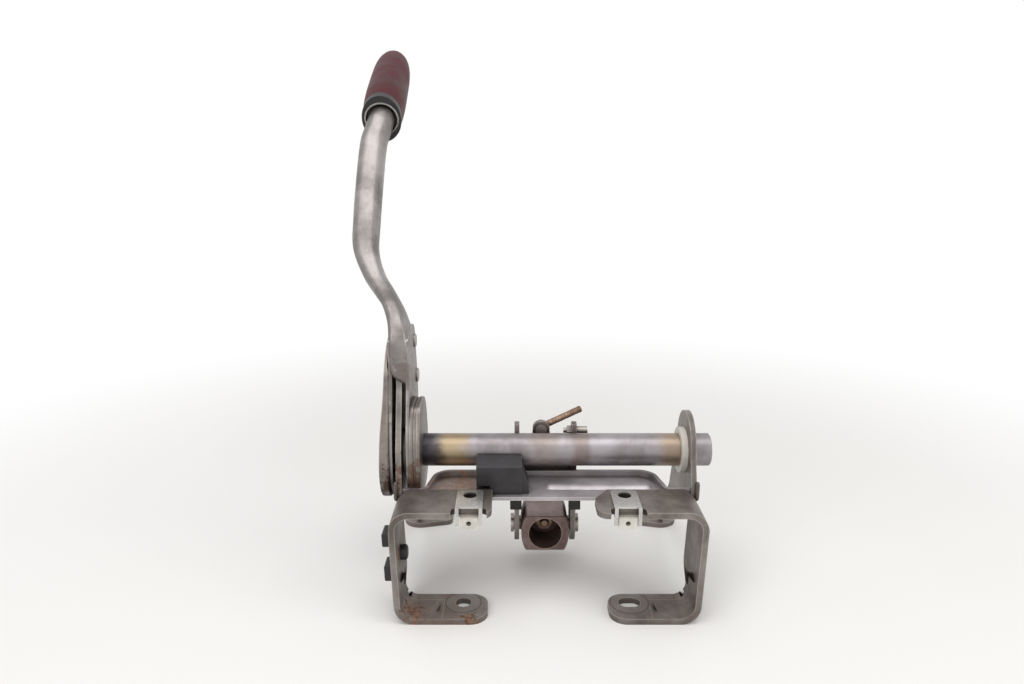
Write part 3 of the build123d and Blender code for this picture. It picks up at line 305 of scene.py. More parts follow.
def leather(spec):
    # cells for the pores, long noise for the soft folds round the grip
    material, tree, shader = startMaterial(spec["name"])
    place = add(tree, "ShaderNodeTexCoord").outputs["Object"]
    toEdge = {"feature": "DISTANCE_TO_EDGE"}
    cells = add(tree, "ShaderNodeTexVoronoi", toEdge, Vector=place, Scale=1100.0)
    cloud = add(tree, "ShaderNodeTexNoise", Vector=place, Scale=48.0, Detail=6.0, Roughness=0.6)
    wearAndShade = use(tree, "wearAndShade", Width=0.002)
    tint = mix(tree, ramp(tree, cloud.outputs["Fac"], 0.3, 0.7), spec["dark"], spec["light"])
    tint = mix(tree, math2(tree, "MULTIPLY", wearAndShade["Edge"], 0.35), tint, spec["worn"])
    pores = ramp(tree, cells.outputs["Distance"], 0.0, 0.12)
    tint = mix(tree, ramp(tree, pores, 1.0, 0.0, 0.0, 0.35), tint, spec["shadeAndPoreTone"])
    height = math2(tree, "ADD", pores, math2(tree, "MULTIPLY", cloud.outputs["Fac"], 2.0))
    bump = add(tree, "ShaderNodeBump", Height=height, Strength=0.22, Distance=0.00018)
    tree.links.new(tint, shader.inputs["Base Color"])
    tree.links.new(ramp(tree, cloud.outputs["Fac"], 0.3, 0.7, 0.46, 0.62), shader.inputs["Roughness"])
    tree.links.new(bump.outputs[0], shader.inputs["Normal"])
    shader.inputs["Specular IOR Level"].default_value = 0.25
    return material


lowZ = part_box("left_bracket")[0].z
footSheet = 4 * mm
footTop = lowZ + footSheet

looks = {
    "bracket_steel": steel({
        "name": "bracketSteel",
        "dark": colour(98, 90, 84), "light": colour(140, 133, 128), "worn": colour(176, 170, 163),
        "shadeAndPoreTone": colour(50, 40, 33), "rough": 0.47, "metal": 0.75, "specks": 0.34,
        "rust": [
            ((-0.086, -0.056, footTop), 0.009, 260.0),
            ((-0.050, -0.062, footTop), 0.006, 280.0),
            ((-0.094, -0.050, -0.050), 0.007, 240.0),
        ],
        "stainsAndShade": [
            {"at": (-0.070, -0.052, footTop), "reach": 0.024, "grain": 200.0, "depth": 0.35,
             "tint": colour(120, 98, 84)},
            {"at": (0.080, -0.050, footTop), "reach": 0.020, "grain": 200.0, "depth": 0.3,
             "tint": colour(112, 94, 82)},
        ],
        "rings": [((-0.0541, -0.044, footTop), 0.0115), ((0.0541, -0.044, footTop), 0.0125)],
    }),
    "web_steel": steel({
        "name": "webSteel",
        "dark": colour(158, 152, 154), "light": colour(190, 185, 188), "worn": colour(206, 202, 202),
        "shadeAndPoreTone": colour(74, 62, 54), "rough": 0.5, "metal": 0.7, "specks": 0.22,
        "stainsAndShade": [
            {"at": (-0.062, -0.020, -0.021), "reach": 0.022, "grain": 210.0, "depth": 0.7,
             "tint": colour(168, 138, 116)},
            {"at": (-0.050, -0.012, -0.021), "reach": 0.014, "grain": 260.0, "depth": 0.6,
             "tint": colour(150, 118, 96)},
        ],
    }),
    "plate_steel": steel({
        "name": "plateSteel",
        "dark": colour(98, 91, 86), "light": colour(138, 131, 126), "worn": colour(176, 170, 163),
        "shadeAndPoreTone": colour(44, 35, 29), "rough": 0.42, "metal": 0.8, "specks": 0.38,
        "stainsAndShade": [
            # painted shade: darker brown over the lower front of the right plates
            {"at": (-0.085, -0.022, -0.016), "reach": 0.022, "grain": 190.0, "depth": 0.65,
             "tint": colour(98, 68, 46)},
            # painted shade: dark brown over the lower front of the left plate's rim
            {"at": (-0.106, -0.018, -0.024), "reach": 0.020, "grain": 190.0, "depth": 0.65,
             "tint": colour(58, 42, 35)},
            {"at": (-0.106, -0.024, 0.020), "reach": 0.010, "grain": 240.0, "depth": 0.35,
             "tint": colour(112, 96, 84)},
        ],
    }),
    "lever_steel": steel({
        "name": "leverSteel",
        "dark": colour(112, 107, 104), "light": colour(154, 149, 147), "worn": colour(180, 175, 170),
        "shadeAndPoreTone": colour(62, 51, 43), "rough": 0.39, "metal": 0.8, "specks": 0.26, "grain": (260, 60, 60),
        "stainsAndShade": [
            {"at": (-0.099, -0.012, 0.052), "reach": 0.020, "grain": 160.0, "depth": 0.5,
             "tint": colour(94, 80, 70)},
            {"at": (-0.082, -0.022, -0.008), "reach": 0.014, "grain": 200.0, "depth": 0.5,
             "tint": colour(104, 84, 70)},
        ],
    }),
    "tube_steel": steel({
        "name": "tubeSteel",
        "dark": colour(120, 114, 115), "light": colour(156, 151, 154), "worn": colour(180, 176, 175),
        "shadeAndPoreTone": colour(56, 43, 36), "rough": 0.37, "metal": 0.8, "specks": 0.28,
        "grain": (900, 60, 60), "hollowShade": 0.35,
        "heat": [
            {"x": -0.064, "reach": 0.017, "depth": 0.7, "tint": colour(150, 128, 84)},
            {"x": -0.081, "reach": 0.019, "depth": 0.9, "tint": colour(52, 49, 56)},
            {"x": 0.0, "reach": 0.014, "depth": 0.35, "tint": colour(128, 108, 88)},
            {"x": 0.024, "reach": 0.010, "depth": 0.45, "tint": colour(108, 84, 66)},
            {"x": 0.085, "reach": 0.014, "depth": 0.55, "tint": colour(148, 120, 76)},
        ],
    }),
    "weld_steel": steel({
        "name": "weldSteel",
        "dark": colour(74, 67, 63), "light": colour(108, 100, 94), "worn": colour(138, 130, 122),
        "shadeAndPoreTone": colour(44, 34, 28), "rough": 0.5, "specks": 0.5,
    }),
    "spring_steel": steel({
        "name": "springSteel",
        "dark": colour(176, 174, 170), "light": colour(208, 206, 202), "worn": colour(226, 224, 220),
        "shadeAndPoreTone": colour(90, 80, 70), "rough": 0.3, "specks": 0.24, "edge": 0.0006,
    }),
    "wire_steel": steel({
        "name": "wireSteel",
        "dark": colour(120, 118, 116), "light": colour(168, 166, 164), "worn": colour(190, 188, 186),
        "shadeAndPoreTone": colour(60, 52, 46), "rough": 0.32,
    }),
    "pin_steel": steel({
        "name": "pinSteel",
        "dark": colour(138, 132, 126), "light": colour(178, 172, 166), "worn": colour(206, 200, 194),
        "shadeAndPoreTone": colour(56, 46, 38), "rough": 0.36, "specks": 0.45, "edge": 0.0006,
    }),
    "rod_steel": steel({
        "name": "rodSteel",
        "dark": colour(104, 80, 66), "light": colour(148, 124, 106), "worn": colour(186, 168, 150),
        "shadeAndPoreTone": colour(52, 36, 26), "rough": 0.45, "specks": 0.6, "edge": 0.0005,
    }),
    "cup_iron": steel({
        "name": "cupIron",
        "dark": colour(96, 78, 76), "light": colour(142, 124, 120), "worn": colour(178, 160, 150),
        "shadeAndPoreTone": colour(42, 28, 22), "rough": 0.44, "metal": 0.75, "specks": 0.55,
    }),
    "ring_chrome": steel({
        "name": "ringChrome",
        "dark": colour(150, 147, 143), "light": colour(182, 179, 175), "worn": colour(200, 198, 194),
        "shadeAndPoreTone": colour(74, 66, 60), "rough": 0.27, "specks": 0.1, "edge": 0.0004, "bump": 0.05,
    }),
    "terminal_brass": steel({
        "name": "terminalBrass",
        "dark": colour(150, 112, 62), "light": colour(190, 150, 88), "worn": colour(214, 178, 110),
        "shadeAndPoreTone": colour(70, 48, 28), "rough": 0.34, "edge": 0.0004,
    }),
    "ivory_nylon": plastic({
        "name": "ivoryNylon",
        "dark": colour(192, 188, 178), "light": colour(210, 207, 199), "worn": colour(220, 218, 211),
        "shadeAndPoreTone": colour(132, 120, 100), "rough": 0.46,
    }),
    "black_plastic": plastic({
        "name": "blackPlastic",
        "dark": colour(24, 23, 24), "light": colour(38, 36, 37), "worn": colour(72, 70, 70),
        "shadeAndPoreTone": colour(17, 15, 14), "rough": 0.5,
    }),
    "switch_plastic": plastic({
        "name": "switchPlastic",
        "dark": colour(26, 23, 25), "light": colour(42, 38, 42), "worn": colour(84, 78, 84),
        "shadeAndPoreTone": colour(18, 16, 15), "rough": 0.52, "pebble": 2600.0,
    }),
    "black_gloss": plastic({
        "name": "blackGloss",
        "dark": colour(20, 19, 20), "light": colour(30, 29, 30), "worn": colour(62, 61, 62),
        "shadeAndPoreTone": colour(13, 12, 12), "rough": 0.24, "bump": 0.04,
    }),
    "black_rubber": plastic({
        "name": "blackRubber",
        "dark": colour(34, 32, 31), "light": colour(50, 47, 45), "worn": colour(84, 79, 75),
        "shadeAndPoreTone": colour(62, 54, 46), "rough": 0.7, "bump": 0.3,
    }),
    "burgundy_leather": leather({
        "name": "burgundyLeather",
        "dark": colour(58, 12, 17), "light": colour(78, 20, 27), "worn": colour(98, 38, 44),
        "shadeAndPoreTone": colour(32, 8, 11),
    }),
}

slotOf = {entry["node"]: entry["material_slot"] for entry in frame["record"]["subparts"]}
for name, obj in nodes.items():
    obj.data.materials.clear()
    obj.data.materials.append(looks[slotOf[name]])
print("stage: materials")


# Pieces that ride on the part

def gridMesh(name, points, body, slotName, smooth=True):
    # points is a rows x columns x 3 grid; faces join neighbours, and the last column joins the first
    rows, cols = points.shape[:2]
    index = np.arange(rows * cols).reshape(rows, cols)
    index = np.concatenate([index, index[:, :1]], axis=1)
    quads = np.stack([index[:-1, :-1], index[:-1, 1:], index[1:, 1:], index[1:, :-1]], axis=-1)
    mesh = bpy.data.meshes.new(name)
    mesh.from_pydata(points.reshape(-1, 3).tolist(), [], quads.reshape(-1, 4).tolist())
    mesh.polygons.foreach_set("use_smooth", [smooth] * len(mesh.polygons))
    mesh.update()
    obj = bpy.data.objects.new(name, mesh)
    bpy.context.scene.collection.objects.link(obj)
    mesh.materials.append(looks[slotName])
    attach(obj, body)
    return obj


def threadSleeve(name, spec, body, slotName):
    # radius = root + depth * height of a triangle wave that runs one pitch ahead for each turn about
    # the axis, carried from start to end and fading out over the first and last pitch
    start = np.array(spec["start"])
    run = np.array(spec["end"]) - start
    length = np.linalg.norm(run)
    heading = run / length
    side = np.cross(heading, spec["across"])
    side = side / np.linalg.norm(side)
    other = np.cross(heading, side)
    rowsPerTurn, columns = 14, 48
    rows = int(length / spec["pitch"] * rowsPerTurn)
    along = np.linspace(0, 1, rows)[:, None]
    angle = np.linspace(0, 2 * np.pi, columns, endpoint=False)[None, :]
    turn = (along * length / spec["pitch"] - angle / (2 * np.pi)) % 1.0
    crest = 1 - np.abs(turn * 2 - 1)
    fade = np.clip(np.minimum(along, 1 - along) * length / spec["pitch"], 0, 1)
    radius = spec["root"] + spec["depth"] * np.clip(crest * 1.5 - 0.25, 0, 1) * fade
    points = (
        start
        + heading * (along * length)[..., None]
        + radius[..., None] * (np.cos(angle)[..., None] * side + np.sin(angle)[..., None] * other)
    )
    return gridMesh(name, points, body, slotName)


def eased(corners, steps=11):
    # closed outline: each corner (y, z, cut) gives way to a conic arc, round where its two arms are
    # alike, that starts cut before the corner and ends cut after it, or sooner on a short arm
    longest = 0.48  # share of an arm that a corner may take
    corners = np.array(corners, float)
    points = corners[:, :2]
    out = []
    for k, (here, cut) in enumerate(zip(points, corners[:, 2])):
        before, after = points[k - 1] - here, points[(k + 1) % len(points)] - here
        armBefore, armAfter = np.linalg.norm(before), np.linalg.norm(after)
        reach = min(cut, longest * armBefore, longest * armAfter)
        start = here + before / armBefore * reach
        end = here + after / armAfter * reach
        turn = np.dot(before, after) / (armBefore * armAfter)
        pull = math.sqrt(max(0.0, (1 - turn) / 2))
        t = np.linspace(0, 1, steps if reach > 0 else 1)[:, None]
        share = np.hstack([(1 - t) ** 2, 2 * pull * t * (1 - t), t * t])
        out.append(share @ np.array([start, here, end]) / share.sum(axis=1, keepdims=True))
    return np.vstack(out)


def drawnIn(outline, depth):
    # every point moved inwards by depth, square to the line through its neighbours
    run = np.roll(outline, -1, axis=0) - np.roll(outline, 1, axis=0)
    run /= np.maximum(np.linalg.norm(run, axis=1, keepdims=True), 1e-9)
    inward = np.stack([-run[:, 1], run[:, 0]], axis=1)
    y, z = outline.T
    if np.sum(y * np.roll(z, -1) - z * np.roll(y, -1)) < 0:
        inward = -inward
    return outline + inward * depth


def loopsMesh(name, loops, body, slotName, bevel=0.0):
    # loops of equal length joined in turn, with a face over the first and over the last
    count = len(loops[0])
    verts = np.concatenate(loops) * mm
    index = np.arange(len(verts)).reshape(-1, count)
    after = np.roll(index, -1, axis=1)
    sides = np.stack([index[:-1], after[:-1], after[1:], index[1:]], axis=-1).reshape(-1, 4)
    faces = [index[0, ::-1].tolist(), index[-1].tolist(), *sides.tolist()]
    mesh = bpy.data.meshes.new(name)
    mesh.from_pydata(verts.tolist(), [], faces)
    obj = bpy.data.objects.new(name, mesh)
    bpy.context.scene.collection.objects.link(obj)
    work = bmesh.new()
    work.from_mesh(mesh)
    bmesh.ops.recalc_face_normals(work, faces=work.faces)
    if bevel:
        cornerAngle = 0.7
        sharp = [e for e in work.edges if e.is_manifold and e.calc_face_angle(0) > cornerAngle]
        bmesh.ops.bevel(work, geom=sharp, offset=bevel * mm, segments=2, affect="EDGES", profile=0.6)
    work.to_mesh(mesh)
    work.free()
    mesh.polygons.foreach_set("use_smooth", [True] * len(mesh.polygons))
    mesh.set_sharp_from_angle(angle=0.6)
    mesh.materials.append(looks[slotName])
    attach(obj, body)
    return obj


def atX(x, outline):
    # the outline's (y, z) points, each with the X value given for it
    return np.column_stack([np.broadcast_to(x, len(outline)), outline])


def plate(name, outline, span, body, slotName, bevel):
    # flat sheet between the two X values of span
    return loopsMesh(name, [atX(x, outline) for x in span], body, slotName, bevel)


def rimmedPlate(name, spec, body, slotName):
    # flat sheet whose edge turns out to the X value that tip gives for each height; the section of
    # the edge runs from the face up the rim's inside, over its crest and down its outside to the back
    outline = eased(spec["outline"])
    sheet, softTip, softBack = spec["sheet"], spec["softTip"], spec["softBack"]
    face, back = spec["x"]
    tip = np.interp(outline[:, 1], *spec["tip"])
    sign = np.sign(face - back)
    inner = drawnIn(outline, sheet)
    loops = [
        atX(face, inner),
        atX(tip - sign * softTip, inner),
        atX(tip, drawnIn(outline, sheet * spec["crest"])),
        atX(tip - sign * softTip, outline),
        atX(back + sign * softBack, outline),
        atX(back, drawnIn(outline, sheet * spec["backShare"])),
    ]
    return loopsMesh(name, loops, body, slotName)


def smoothCorner(side):
    # the bracket's sheet without its diagonal rib: the faces that stand clear of wall and foot, near
    # the diagonal between them, go, and bentStrip covers the place
    spec = ribPlace
    node = nodes[side + "_bracket"]
    low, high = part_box(side + "_bracket")
    sign = -1 if side == "left" else 1
    wallX = (low.x if side == "left" else high.x) - sign * spec["sheet"]
    mesh = node.data.copy()
    mesh.name = side + "BracketSheet"
    mesh.transform(node.matrix_world)
    work = bmesh.new()
    work.from_mesh(mesh)
    bmesh.ops.remove_doubles(work, verts=work.verts, dist=1e-6)
    gone = []
    for face in work.faces:
        spot = face.calc_center_median()
        inward = (wallX - spot.x) * sign
        above = spot.z - (lowZ + spec["sheet"])
        clear = min(inward, above) > spec["clear"]
        onRib = abs(inward - above) < spec["band"] and inward + above < spec["reach"]
        slanting = abs(face.normal.x + sign * face.normal.z) < spec["lean"]
        if clear and onRib and (slanting or inward + above > spec["corner"]):
            gone.append(face)
    bmesh.ops.delete(work, geom=gone, context="FACES")
    work.to_mesh(mesh)
    work.free()
    obj = bpy.data.objects.new(mesh.name, mesh)
    bpy.context.scene.collection.objects.link(obj)
    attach(obj, "frame")
    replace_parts(obj, side + "_bracket")
    print(side, "corner faces taken", len(gone))


ribPlace = {
    "sheet": 4.2 * mm,  # just over the bracket's sheet
    "clear": 0.8 * mm,  # how far from wall and foot a face has to be
    "band": 16 * mm,  # how far off the diagonal
    "reach": 32 * mm,  # how far from the corner, in and up together
    "corner": 12 * mm,  # up to here only slanting faces go
    "lean": 0.25,
}
cornerStrip = {
    "sheet": 4.0,
    "foot": 96.3,  # X of the wall's outside where it would meet the floor
    "top": 98.8,
    "rise": 77.0,
    "bend": 13.0,
    "along": 30.0,
    "up": 31.0,
    "y": (-62.68, -40.5),
    "sink": (0.04, 0.03),  # how far its two sides lie off the bracket's, inside and outside
}


def bentStrip(side):
    # the sheet's own L-shaped section, a quarter circle with two straight arms of which the upper one
    # leans with the wall, carried across the place that the rib has left
    spec = cornerStrip
    sign = -1 if side == "left" else 1
    slope = (spec["top"] - spec["foot"]) / spec["rise"]
    centre = np.array([spec["foot"] - spec["bend"], spec["bend"]])
    quarter = np.pi / 2
    turn = np.linspace(-quarter, 0, 14)
    sides = []
    for radius in (spec["bend"] - spec["sheet"] - spec["sink"][0], spec["bend"] - spec["sink"][1]):
        arc = centre + radius * np.stack([np.cos(turn), np.sin(turn)], axis=1)
        arc[:, 0] += slope * np.clip(arc[:, 1], 0, None) * (turn + quarter) / quarter
        first = [(spec["foot"] - spec["along"], arc[0, 1])]
        last = [(arc[-1, 0] + slope * (spec["up"] - arc[-1, 1]), spec["up"])]
        sides.append(np.vstack([first, arc, last]))
    inner, outer = sides
    near, far = spec["y"]
    section = np.stack([inner, inner, outer, outer], axis=1)
    y = np.broadcast_to([near, far, far, near], section.shape[:2])
    loops = np.stack([sign * section[..., 0], y, section[..., 1] + lowZ / mm], axis=-1)
    loopsMesh(side + "CornerStrip", loops, "frame", "bracket_steel")


for side in ("left", "right"):
    smoothCorner(side)
    bentStrip(side)

leftPlate = {
    "outline": [
        # y, z, cut
        (26.5, -28.2, 27), (-28.6, -28.2, 28), (-28.6, 14, 22), (-15.5, 46, 14), (-15.5, 62, 10),
        (0, 76, 12), (30, 79, 14), (43, 62, 18), (41, 34, 24), (30.5, -4, 20),
    ],
    "x": (-104.5, -102.0),
    "sheet": 2.4,
    "crest": 0.6,  # share of the sheet at which the rim is highest
    "backShare": 0.35,
    "softTip": 0.3,
    "softBack": 0.9,
    "tip": ([-40, -22, -4, 20, 42, 60, 66], [-106.4, -108.2, -108.6, -107.6, -106.2, -105.0, -104.9]),
}
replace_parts(rimmedPlate("leftPlateRim", leftPlate, "lever", "plate_steel"), "left_cheek")

rightPlates = {
    "outline": [
        (24, -27.4, 26), (-27.6, -27.4, 27), (-27.6, 12, 20),
        (-16.5, 36.0, 5), (14, 37.0, 14), (26, 12, 16),
    ],
    "layers": ((-88.8, -86.4, 0.0), (-86.4, -84.3, 0.7), (-84.3, -82.0, 0.1)),  # from, to, drawn in by
    "bevel": 0.35,
}
for number, (*span, less) in enumerate(rightPlates["layers"]):
    outline = drawnIn(eased(rightPlates["outline"]), less)
    layer = plate("rightPlate%d" % number, outline, span, "lever", "plate_steel", rightPlates["bevel"])
    if number == 0:
        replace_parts(layer, "right_cheek")

legs = {
    "outline": [
        (26, -26, 24), (-26, -26, 24), (-26, 14, 16), (-14.4, 46, 12), (-13.6, 80, 2), (4, 84, 10),
        (23, 84, 13), (27.5, 60, 14), (33.5, 36, 20), (26, 0, 16),
    ],
    "walls": ((-102.0, -99.8), (-91.0, -88.8)),
    "bevel": 0.4,
}
for side, span in zip(("left", "right"), legs["walls"]):
    wall = plate(side + "FootWall", eased(legs["outline"]), span, "lever", "lever_steel", legs["bevel"])
    if side == "left":
        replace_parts(wall, "arm_foot")


pins = {
    "span": (-104.5, -88.8),
    "pawlRadius": 3.0,
    "stopRadius": 3.2,
    "headOver": 1.7,  # how far a head stands out past the bar
    "headThick": 1.4,
    "rimSoft": (0.5, 0.6),  # the head's rounded rim, along the pin and across it
    "hub": 0.02,  # radius at which a head's flat face closes
}


def headedPin(name, node, radius):
    # turned outline carried round X: a round bar with a low domed head at each end
    low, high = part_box(node)
    y, z = (low.y + high.y) / 2 / mm, (low.z + high.z) / 2 / mm
    head, hub = radius + pins["headOver"], pins["hub"]
    left, right = pins["span"]
    leftEnd, rightEnd = left - pins["headThick"], right + pins["headThick"]
    inFrom, downFrom = pins["rimSoft"]
    profile = np.array([
        (leftEnd, hub), (leftEnd, head - downFrom), (leftEnd + inFrom, head), (left, head),
        (left, radius), (right, radius),
        (right, head), (rightEnd - inFrom, head), (rightEnd, head - downFrom), (rightEnd, hub),
    ])
    angle = np.linspace(0, 2 * np.pi, 40, endpoint=False)[None, :]
    x, r = profile[:, :1], profile[:, 1:]
    points = np.stack([x + 0 * angle, y + r * np.cos(angle), z + r * np.sin(angle)], axis=-1) * mm
    return gridMesh(name, points, "lever", "pin_steel", smooth=False)


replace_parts(headedPin("pawlPinShort", "pawl_pin", pins["pawlRadius"]), "pawl_pin")
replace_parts(headedPin("stopPinShort", "stop_pin", pins["stopRadius"]), "stop_pin")


def squareRing(centre, half, lean, power, angle):
    # |u / half width| ** power + |v / half depth| ** power = 1, turned by lean about X
    across, deep = np.cos(angle), np.sin(angle)
    u = half[0] * np.sign(across) * np.abs(across) ** (2 / power)
    v = half[1] * np.sign(deep) * np.abs(deep) ** (2 / power)
    lean = math.radians(lean)
    x, y, z = centre[0] + u, centre[1] + v * math.cos(lean), centre[2] - v * math.sin(lean)
    return np.stack([x, y, z], axis=1)


def throughPoints(rows, steps):
    # a cubic between each two rows that leaves each row along the line through its neighbours,
    # each column on its own
    rows = np.array(rows, float)
    padded = np.vstack([2 * rows[0] - rows[1], rows, 2 * rows[-1] - rows[-2]])
    out = []
    for k in range(1, len(rows)):
        a, b, c, d = padded[k - 1:k + 3]
        t = np.linspace(0, 1, steps, endpoint=False)[:, None]
        square = (2 * a - 5 * b + 4 * c - d) * t * t
        cube = (3 * b - a - 3 * c + d) * t ** 3
        out.append(0.5 * (2 * b + (c - a) * t + square + cube))
    return np.vstack([*out, rows[-1:]])


arm = {
    # x, y, z, half width, half depth, lean in degrees, squareness
    "path": [
        (-95.4, 5.4, 66.0, 6.75, 20.0, 0, 7.0),
        (-95.5, 4.6, 77.0, 6.7, 18.9, 3, 6.0),
        (-96.8, 6.6, 86.0, 6.3, 16.8, 12, 4.2),
        (-101.0, 14.0, 95.0, 6.8, 13.8, 23, 3.4),
        (-108.0, 25.0, 102.5, 7.4, 11.6, 32, 3.1),
        (-117.2, 37.2, 113.0, 7.9, 10.2, 36, 3.0),
        (-124.3, 50.0, 128.5, 8.8, 9.8, 36, 3.0),
        (-125.4, 62.5, 146.0, 9.3, 9.6, 35, 3.0),
        (-125.4, 84.0, 177.0, 9.6, 9.6, 35, 2.8),
        (-124.6, 100.0, 200.0, 9.6, 9.6, 37, 2.6),
        (-122.2, 108.0, 210.5, 9.6, 9.6, 50, 2.3),
        (-120.5, 116.0, 219.0, 9.6, 9.6, 65, 2.0),
        (-120.8, 124.0, 222.8, 9.6, 9.6, 65, 2.0),
    ],
    "lip": ([-102.2, -101.2, -99.2, -95.1, -88.6], [65.0, 60.0, 56.0, 52.6, 49.9]),  # height over X
    "front": (-6.0, 4.0),  # the lip starts at this Y and is full after this much more
    "inside": (0.72, 0.9),  # size of the closing ring inside the lip, as shares of the lip's
    "columns": 72,
    "stepsBetween": 9,
}
ringAngle = np.linspace(0, 2 * np.pi, arm["columns"], endpoint=False)
armRows = throughPoints(arm["path"], arm["stepsBetween"])
rings = [squareRing(row[:3], row[3:5], row[5], row[6], ringAngle) for row in armRows]
# below the path the front face runs down to a slanting lip, and the rest stops where it is
lipRing = rings[0].copy()
lipFrom, lipOver = arm["front"]
inFront = np.clip((lipFrom - lipRing[:, 1]) / lipOver, 0, 1)
lipRing[:, 2] += (np.interp(lipRing[:, 0], *arm["lip"]) - lipRing[:, 2]) * inFront
drop = [rings[0] + (lipRing - rings[0]) * t for t in (1.0, 0.75, 0.5, 0.25)]
inside = lipRing.copy()
centre = np.array(arm["path"][0][:2])
inside[:, :2] = centre + (inside[:, :2] - centre) * arm["inside"]
armPoints = np.stack([inside, *drop, *rings]) * mm
armBody = gridMesh("armShell", armPoints, "lever", "lever_steel")
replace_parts(armBody, "lever_arm")


weld = {"rows": 90, "columns": 20, "plain": 1.35 * mm, "ripple": 0.25 * mm, "drops": 9, "flat": 0.8}


def weldBead(side):
    # radius = plain + ripple * |sin(pi * drops * along)|, shrinking to nothing at both ends
    spec = weld
    low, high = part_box(side + "_weld")
    x = (low.x + high.x) / 2
    y = (low.y + high.y) / 2
    along = np.linspace(0, 1, spec["rows"])[:, None]
    angle = np.linspace(0, 2 * np.pi, spec["columns"], endpoint=False)[None, :]
    taper = np.sqrt(np.clip(1 - (2 * along - 1) ** 6, 0, 1))
    radius = (spec["plain"] + spec["ripple"] * np.abs(np.sin(np.pi * spec["drops"] * along))) * taper
    points = np.stack(
        [
            x + radius * np.cos(angle),
            y + radius * np.sin(angle) * spec["flat"],
            low.z + (high.z - low.z) * along + 0 * angle,
        ],
        axis=-1,
    )
    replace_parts(gridMesh(side + "WeldBead", points, "frame", "weld_steel"), side + "_weld")


weldBead("left")
weldBead("right")

metricThread = {"depth": 0.32 * mm, "pitch": 1.0 * mm}

rodLow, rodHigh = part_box("pull_rod")
rodX, rodZ = (rodLow.x + rodHigh.x) / 2, (rodLow.z + rodHigh.z) / 2
plainEnds = (1.0 * mm, 14.0 * mm)
rodThread = {
    "start": (rodX, rodLow.y + plainEnds[0], rodZ),
    "end": (rodX, rodHigh.y - plainEnds[1], rodZ),
    "across": (1, 0, 0),
    "root": 2.72 * mm,
    **metricThread,
}
threadSleeve("rodThread", rodThread, "rod", "rod_steel")

pinLow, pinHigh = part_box("link_pin")
studLow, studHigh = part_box("link_stud")
studEye = np.array([(pinLow.x + pinHigh.x) / 2, (studLow.y + studHigh.y) / 2, (pinLow.z + pinHigh.z) / 2])
studSlope = math.radians(26.0)
studHeading = np.array([math.cos(studSlope), 0, math.sin(studSlope)])
studThread = {
    "start": studEye + studHeading * 8.0 * mm,
    "end": studEye + studHeading * 30.2 * mm,
    "across": (0, 1, 0),
    "root": 2.02 * mm,
    **metricThread,
}
threadSleeve("studThread", studThread, "link", "rod_steel")
print("stage: pieces")


# Floor, light and camera

white = (1.0, 1.0, 1.0, 1.0)


def stagePlane():
    floor = {"half": 3.0, "tints": (colour(236, 234, 231), colour(240, 238, 236)), "fade": (0.28, 0.75)}
    material, tree, shader = startMaterial("paleFloor")
    place = add(tree, "ShaderNodeTexCoord").outputs["Object"]
    noise = add(tree, "ShaderNodeTexNoise", Vector=place, Scale=2.0, Detail=3.0)
    tint = mix(tree, ramp(tree, noise.outputs["Fac"], 0.3, 0.7), *floor["tints"])
    tree.links.new(tint, shader.inputs["Base Color"])
    shader.inputs["Roughness"].default_value = 0.85
    shader.inputs["Specular IOR Level"].default_value = 0.1
    # far from the part the floor is white to the camera, so that no horizon shows
    far = add(tree, "ShaderNodeVectorMath", {"operation": "LENGTH"}, _0=place).outputs["Value"]
    toCamera = add(tree, "ShaderNodeLightPath").outputs["Is Camera Ray"]
    seen = math2(tree, "MULTIPLY", ramp(tree, far, *floor["fade"]), toCamera)
    glow = add(tree, "ShaderNodeEmission", Color=white, Strength=1.0)
    joined = add(tree, "ShaderNodeMixShader", _0=seen, _1=shader.outputs[0], _2=glow.outputs[0])
    output = next(node for node in tree.nodes if node.bl_idname == "ShaderNodeOutputMaterial")
    tree.links.new(joined.outputs[0], output.inputs[0])
    h = floor["half"]
    corners = [(-h, -h, lowZ), (h, -h, lowZ), (h, h, lowZ), (-h, h, lowZ)]
    mesh = bpy.data.meshes.new("floor")
    mesh.from_pydata(corners, [], [(0, 1, 2, 3)])
    mesh.materials.append(material)
    obj = bpy.data.objects.new("floor", mesh)
    bpy.context.scene.collection.objects.link(obj)


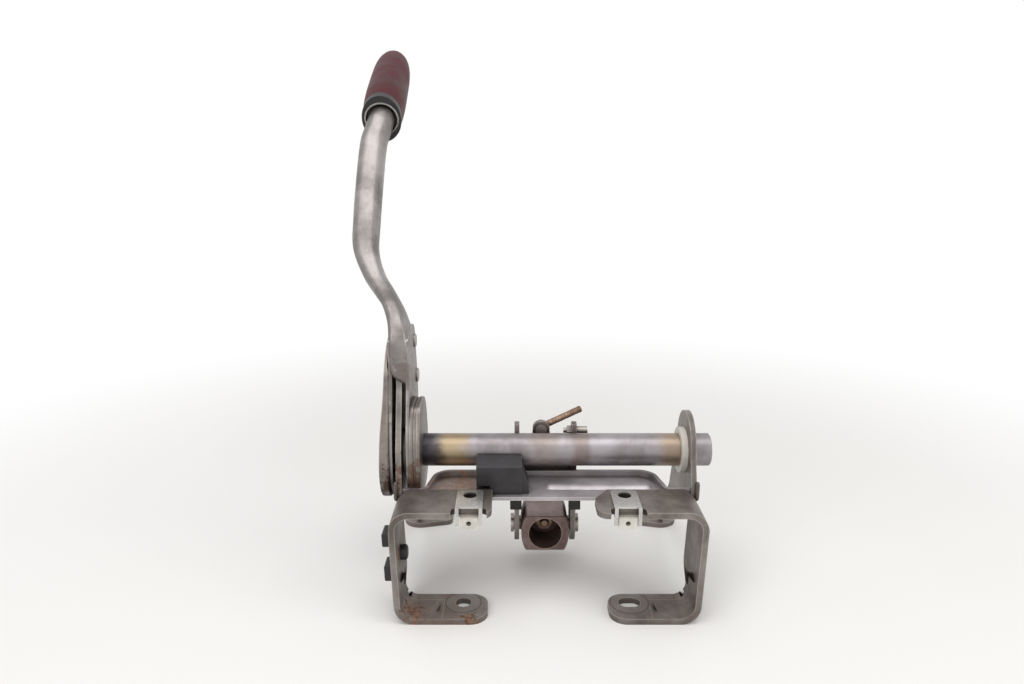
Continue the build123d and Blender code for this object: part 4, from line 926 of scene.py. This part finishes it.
def softbox(name, spec):
    # a rectangular lamp turned towards the place that it is aimed at
    light = bpy.data.lights.new(name, "AREA")
    light.shape = "RECTANGLE"
    light.size = spec["wide"]
    light.size_y = spec["deep"]
    light.energy = spec["power"]
    obj = bpy.data.objects.new(name, light)
    obj.location = spec["at"]
    aim = np.array(spec["aim"]) - np.array(spec["at"])
    tilt = math.atan2(math.hypot(aim[0], aim[1]), -aim[2])
    obj.rotation_euler = (tilt, 0, math.atan2(aim[1], aim[0]) - math.pi / 2)
    bpy.context.scene.collection.objects.link(obj)


def whiteWorld():
    # the background is white for the camera and in reflections, and dim as a light
    world = bpy.data.worlds.new("room")
    bpy.context.scene.world = world
    world.use_nodes = True
    tree = world.node_tree
    tree.nodes.clear()
    path = tree.nodes.new("ShaderNodeLightPath")
    seen = math2(tree, "MAXIMUM", path.outputs["Is Camera Ray"], path.outputs["Is Glossy Ray"])
    seen = math2(tree, "MAXIMUM", seen, path.outputs["Is Transmission Ray"])
    dim = 0.55
    back = add(tree, "ShaderNodeBackground", Color=white, Strength=ramp(tree, seen, 0.0, 1.0, dim, 1.0))
    output = tree.nodes.new("ShaderNodeOutputWorld")
    tree.links.new(back.outputs[0], output.inputs[0])


stagePlane()
lamps = {
    "topLight": {"at": (-0.1, -0.25, 1.3), "aim": (0, 0, 0), "wide": 1.2, "deep": 1.0, "power": 8.5},
    "frontLight": {"at": (-0.75, -1.2, 0.75), "aim": (0, 0, 0.05), "wide": 1.0, "deep": 1.0, "power": 7.5},
    "rightLight": {"at": (1.1, -0.5, 0.5), "aim": (0, 0, 0), "wide": 0.6, "deep": 0.9, "power": 3.5},
}
for name, spec in lamps.items():
    softbox(name, spec)
whiteWorld()

cameraPlace = {
    "at": (-22.4 * mm, -497.6 * mm, 203.0 * mm),
    "down": 14.4,  # degrees below level
    "focalPixels": 784.0,
    "wide": 1024,  # the photo's width in pixels
}
camera = bpy.data.cameras.new("photoCamera")
camera.sensor_width = 36.0
camera.lens = camera.sensor_width * cameraPlace["focalPixels"] / cameraPlace["wide"]
camera.clip_start = 0.01
camera.clip_end = 20.0
viewer = bpy.data.objects.new("photoCamera", camera)
viewer.location = cameraPlace["at"]
viewer.rotation_euler = (math.radians(90 - cameraPlace["down"]), 0, 0)
bpy.context.scene.collection.objects.link(viewer)
bpy.context.scene.camera = viewer
bpy.context.scene.view_settings.view_transform = "Standard"
print("stage: camera")
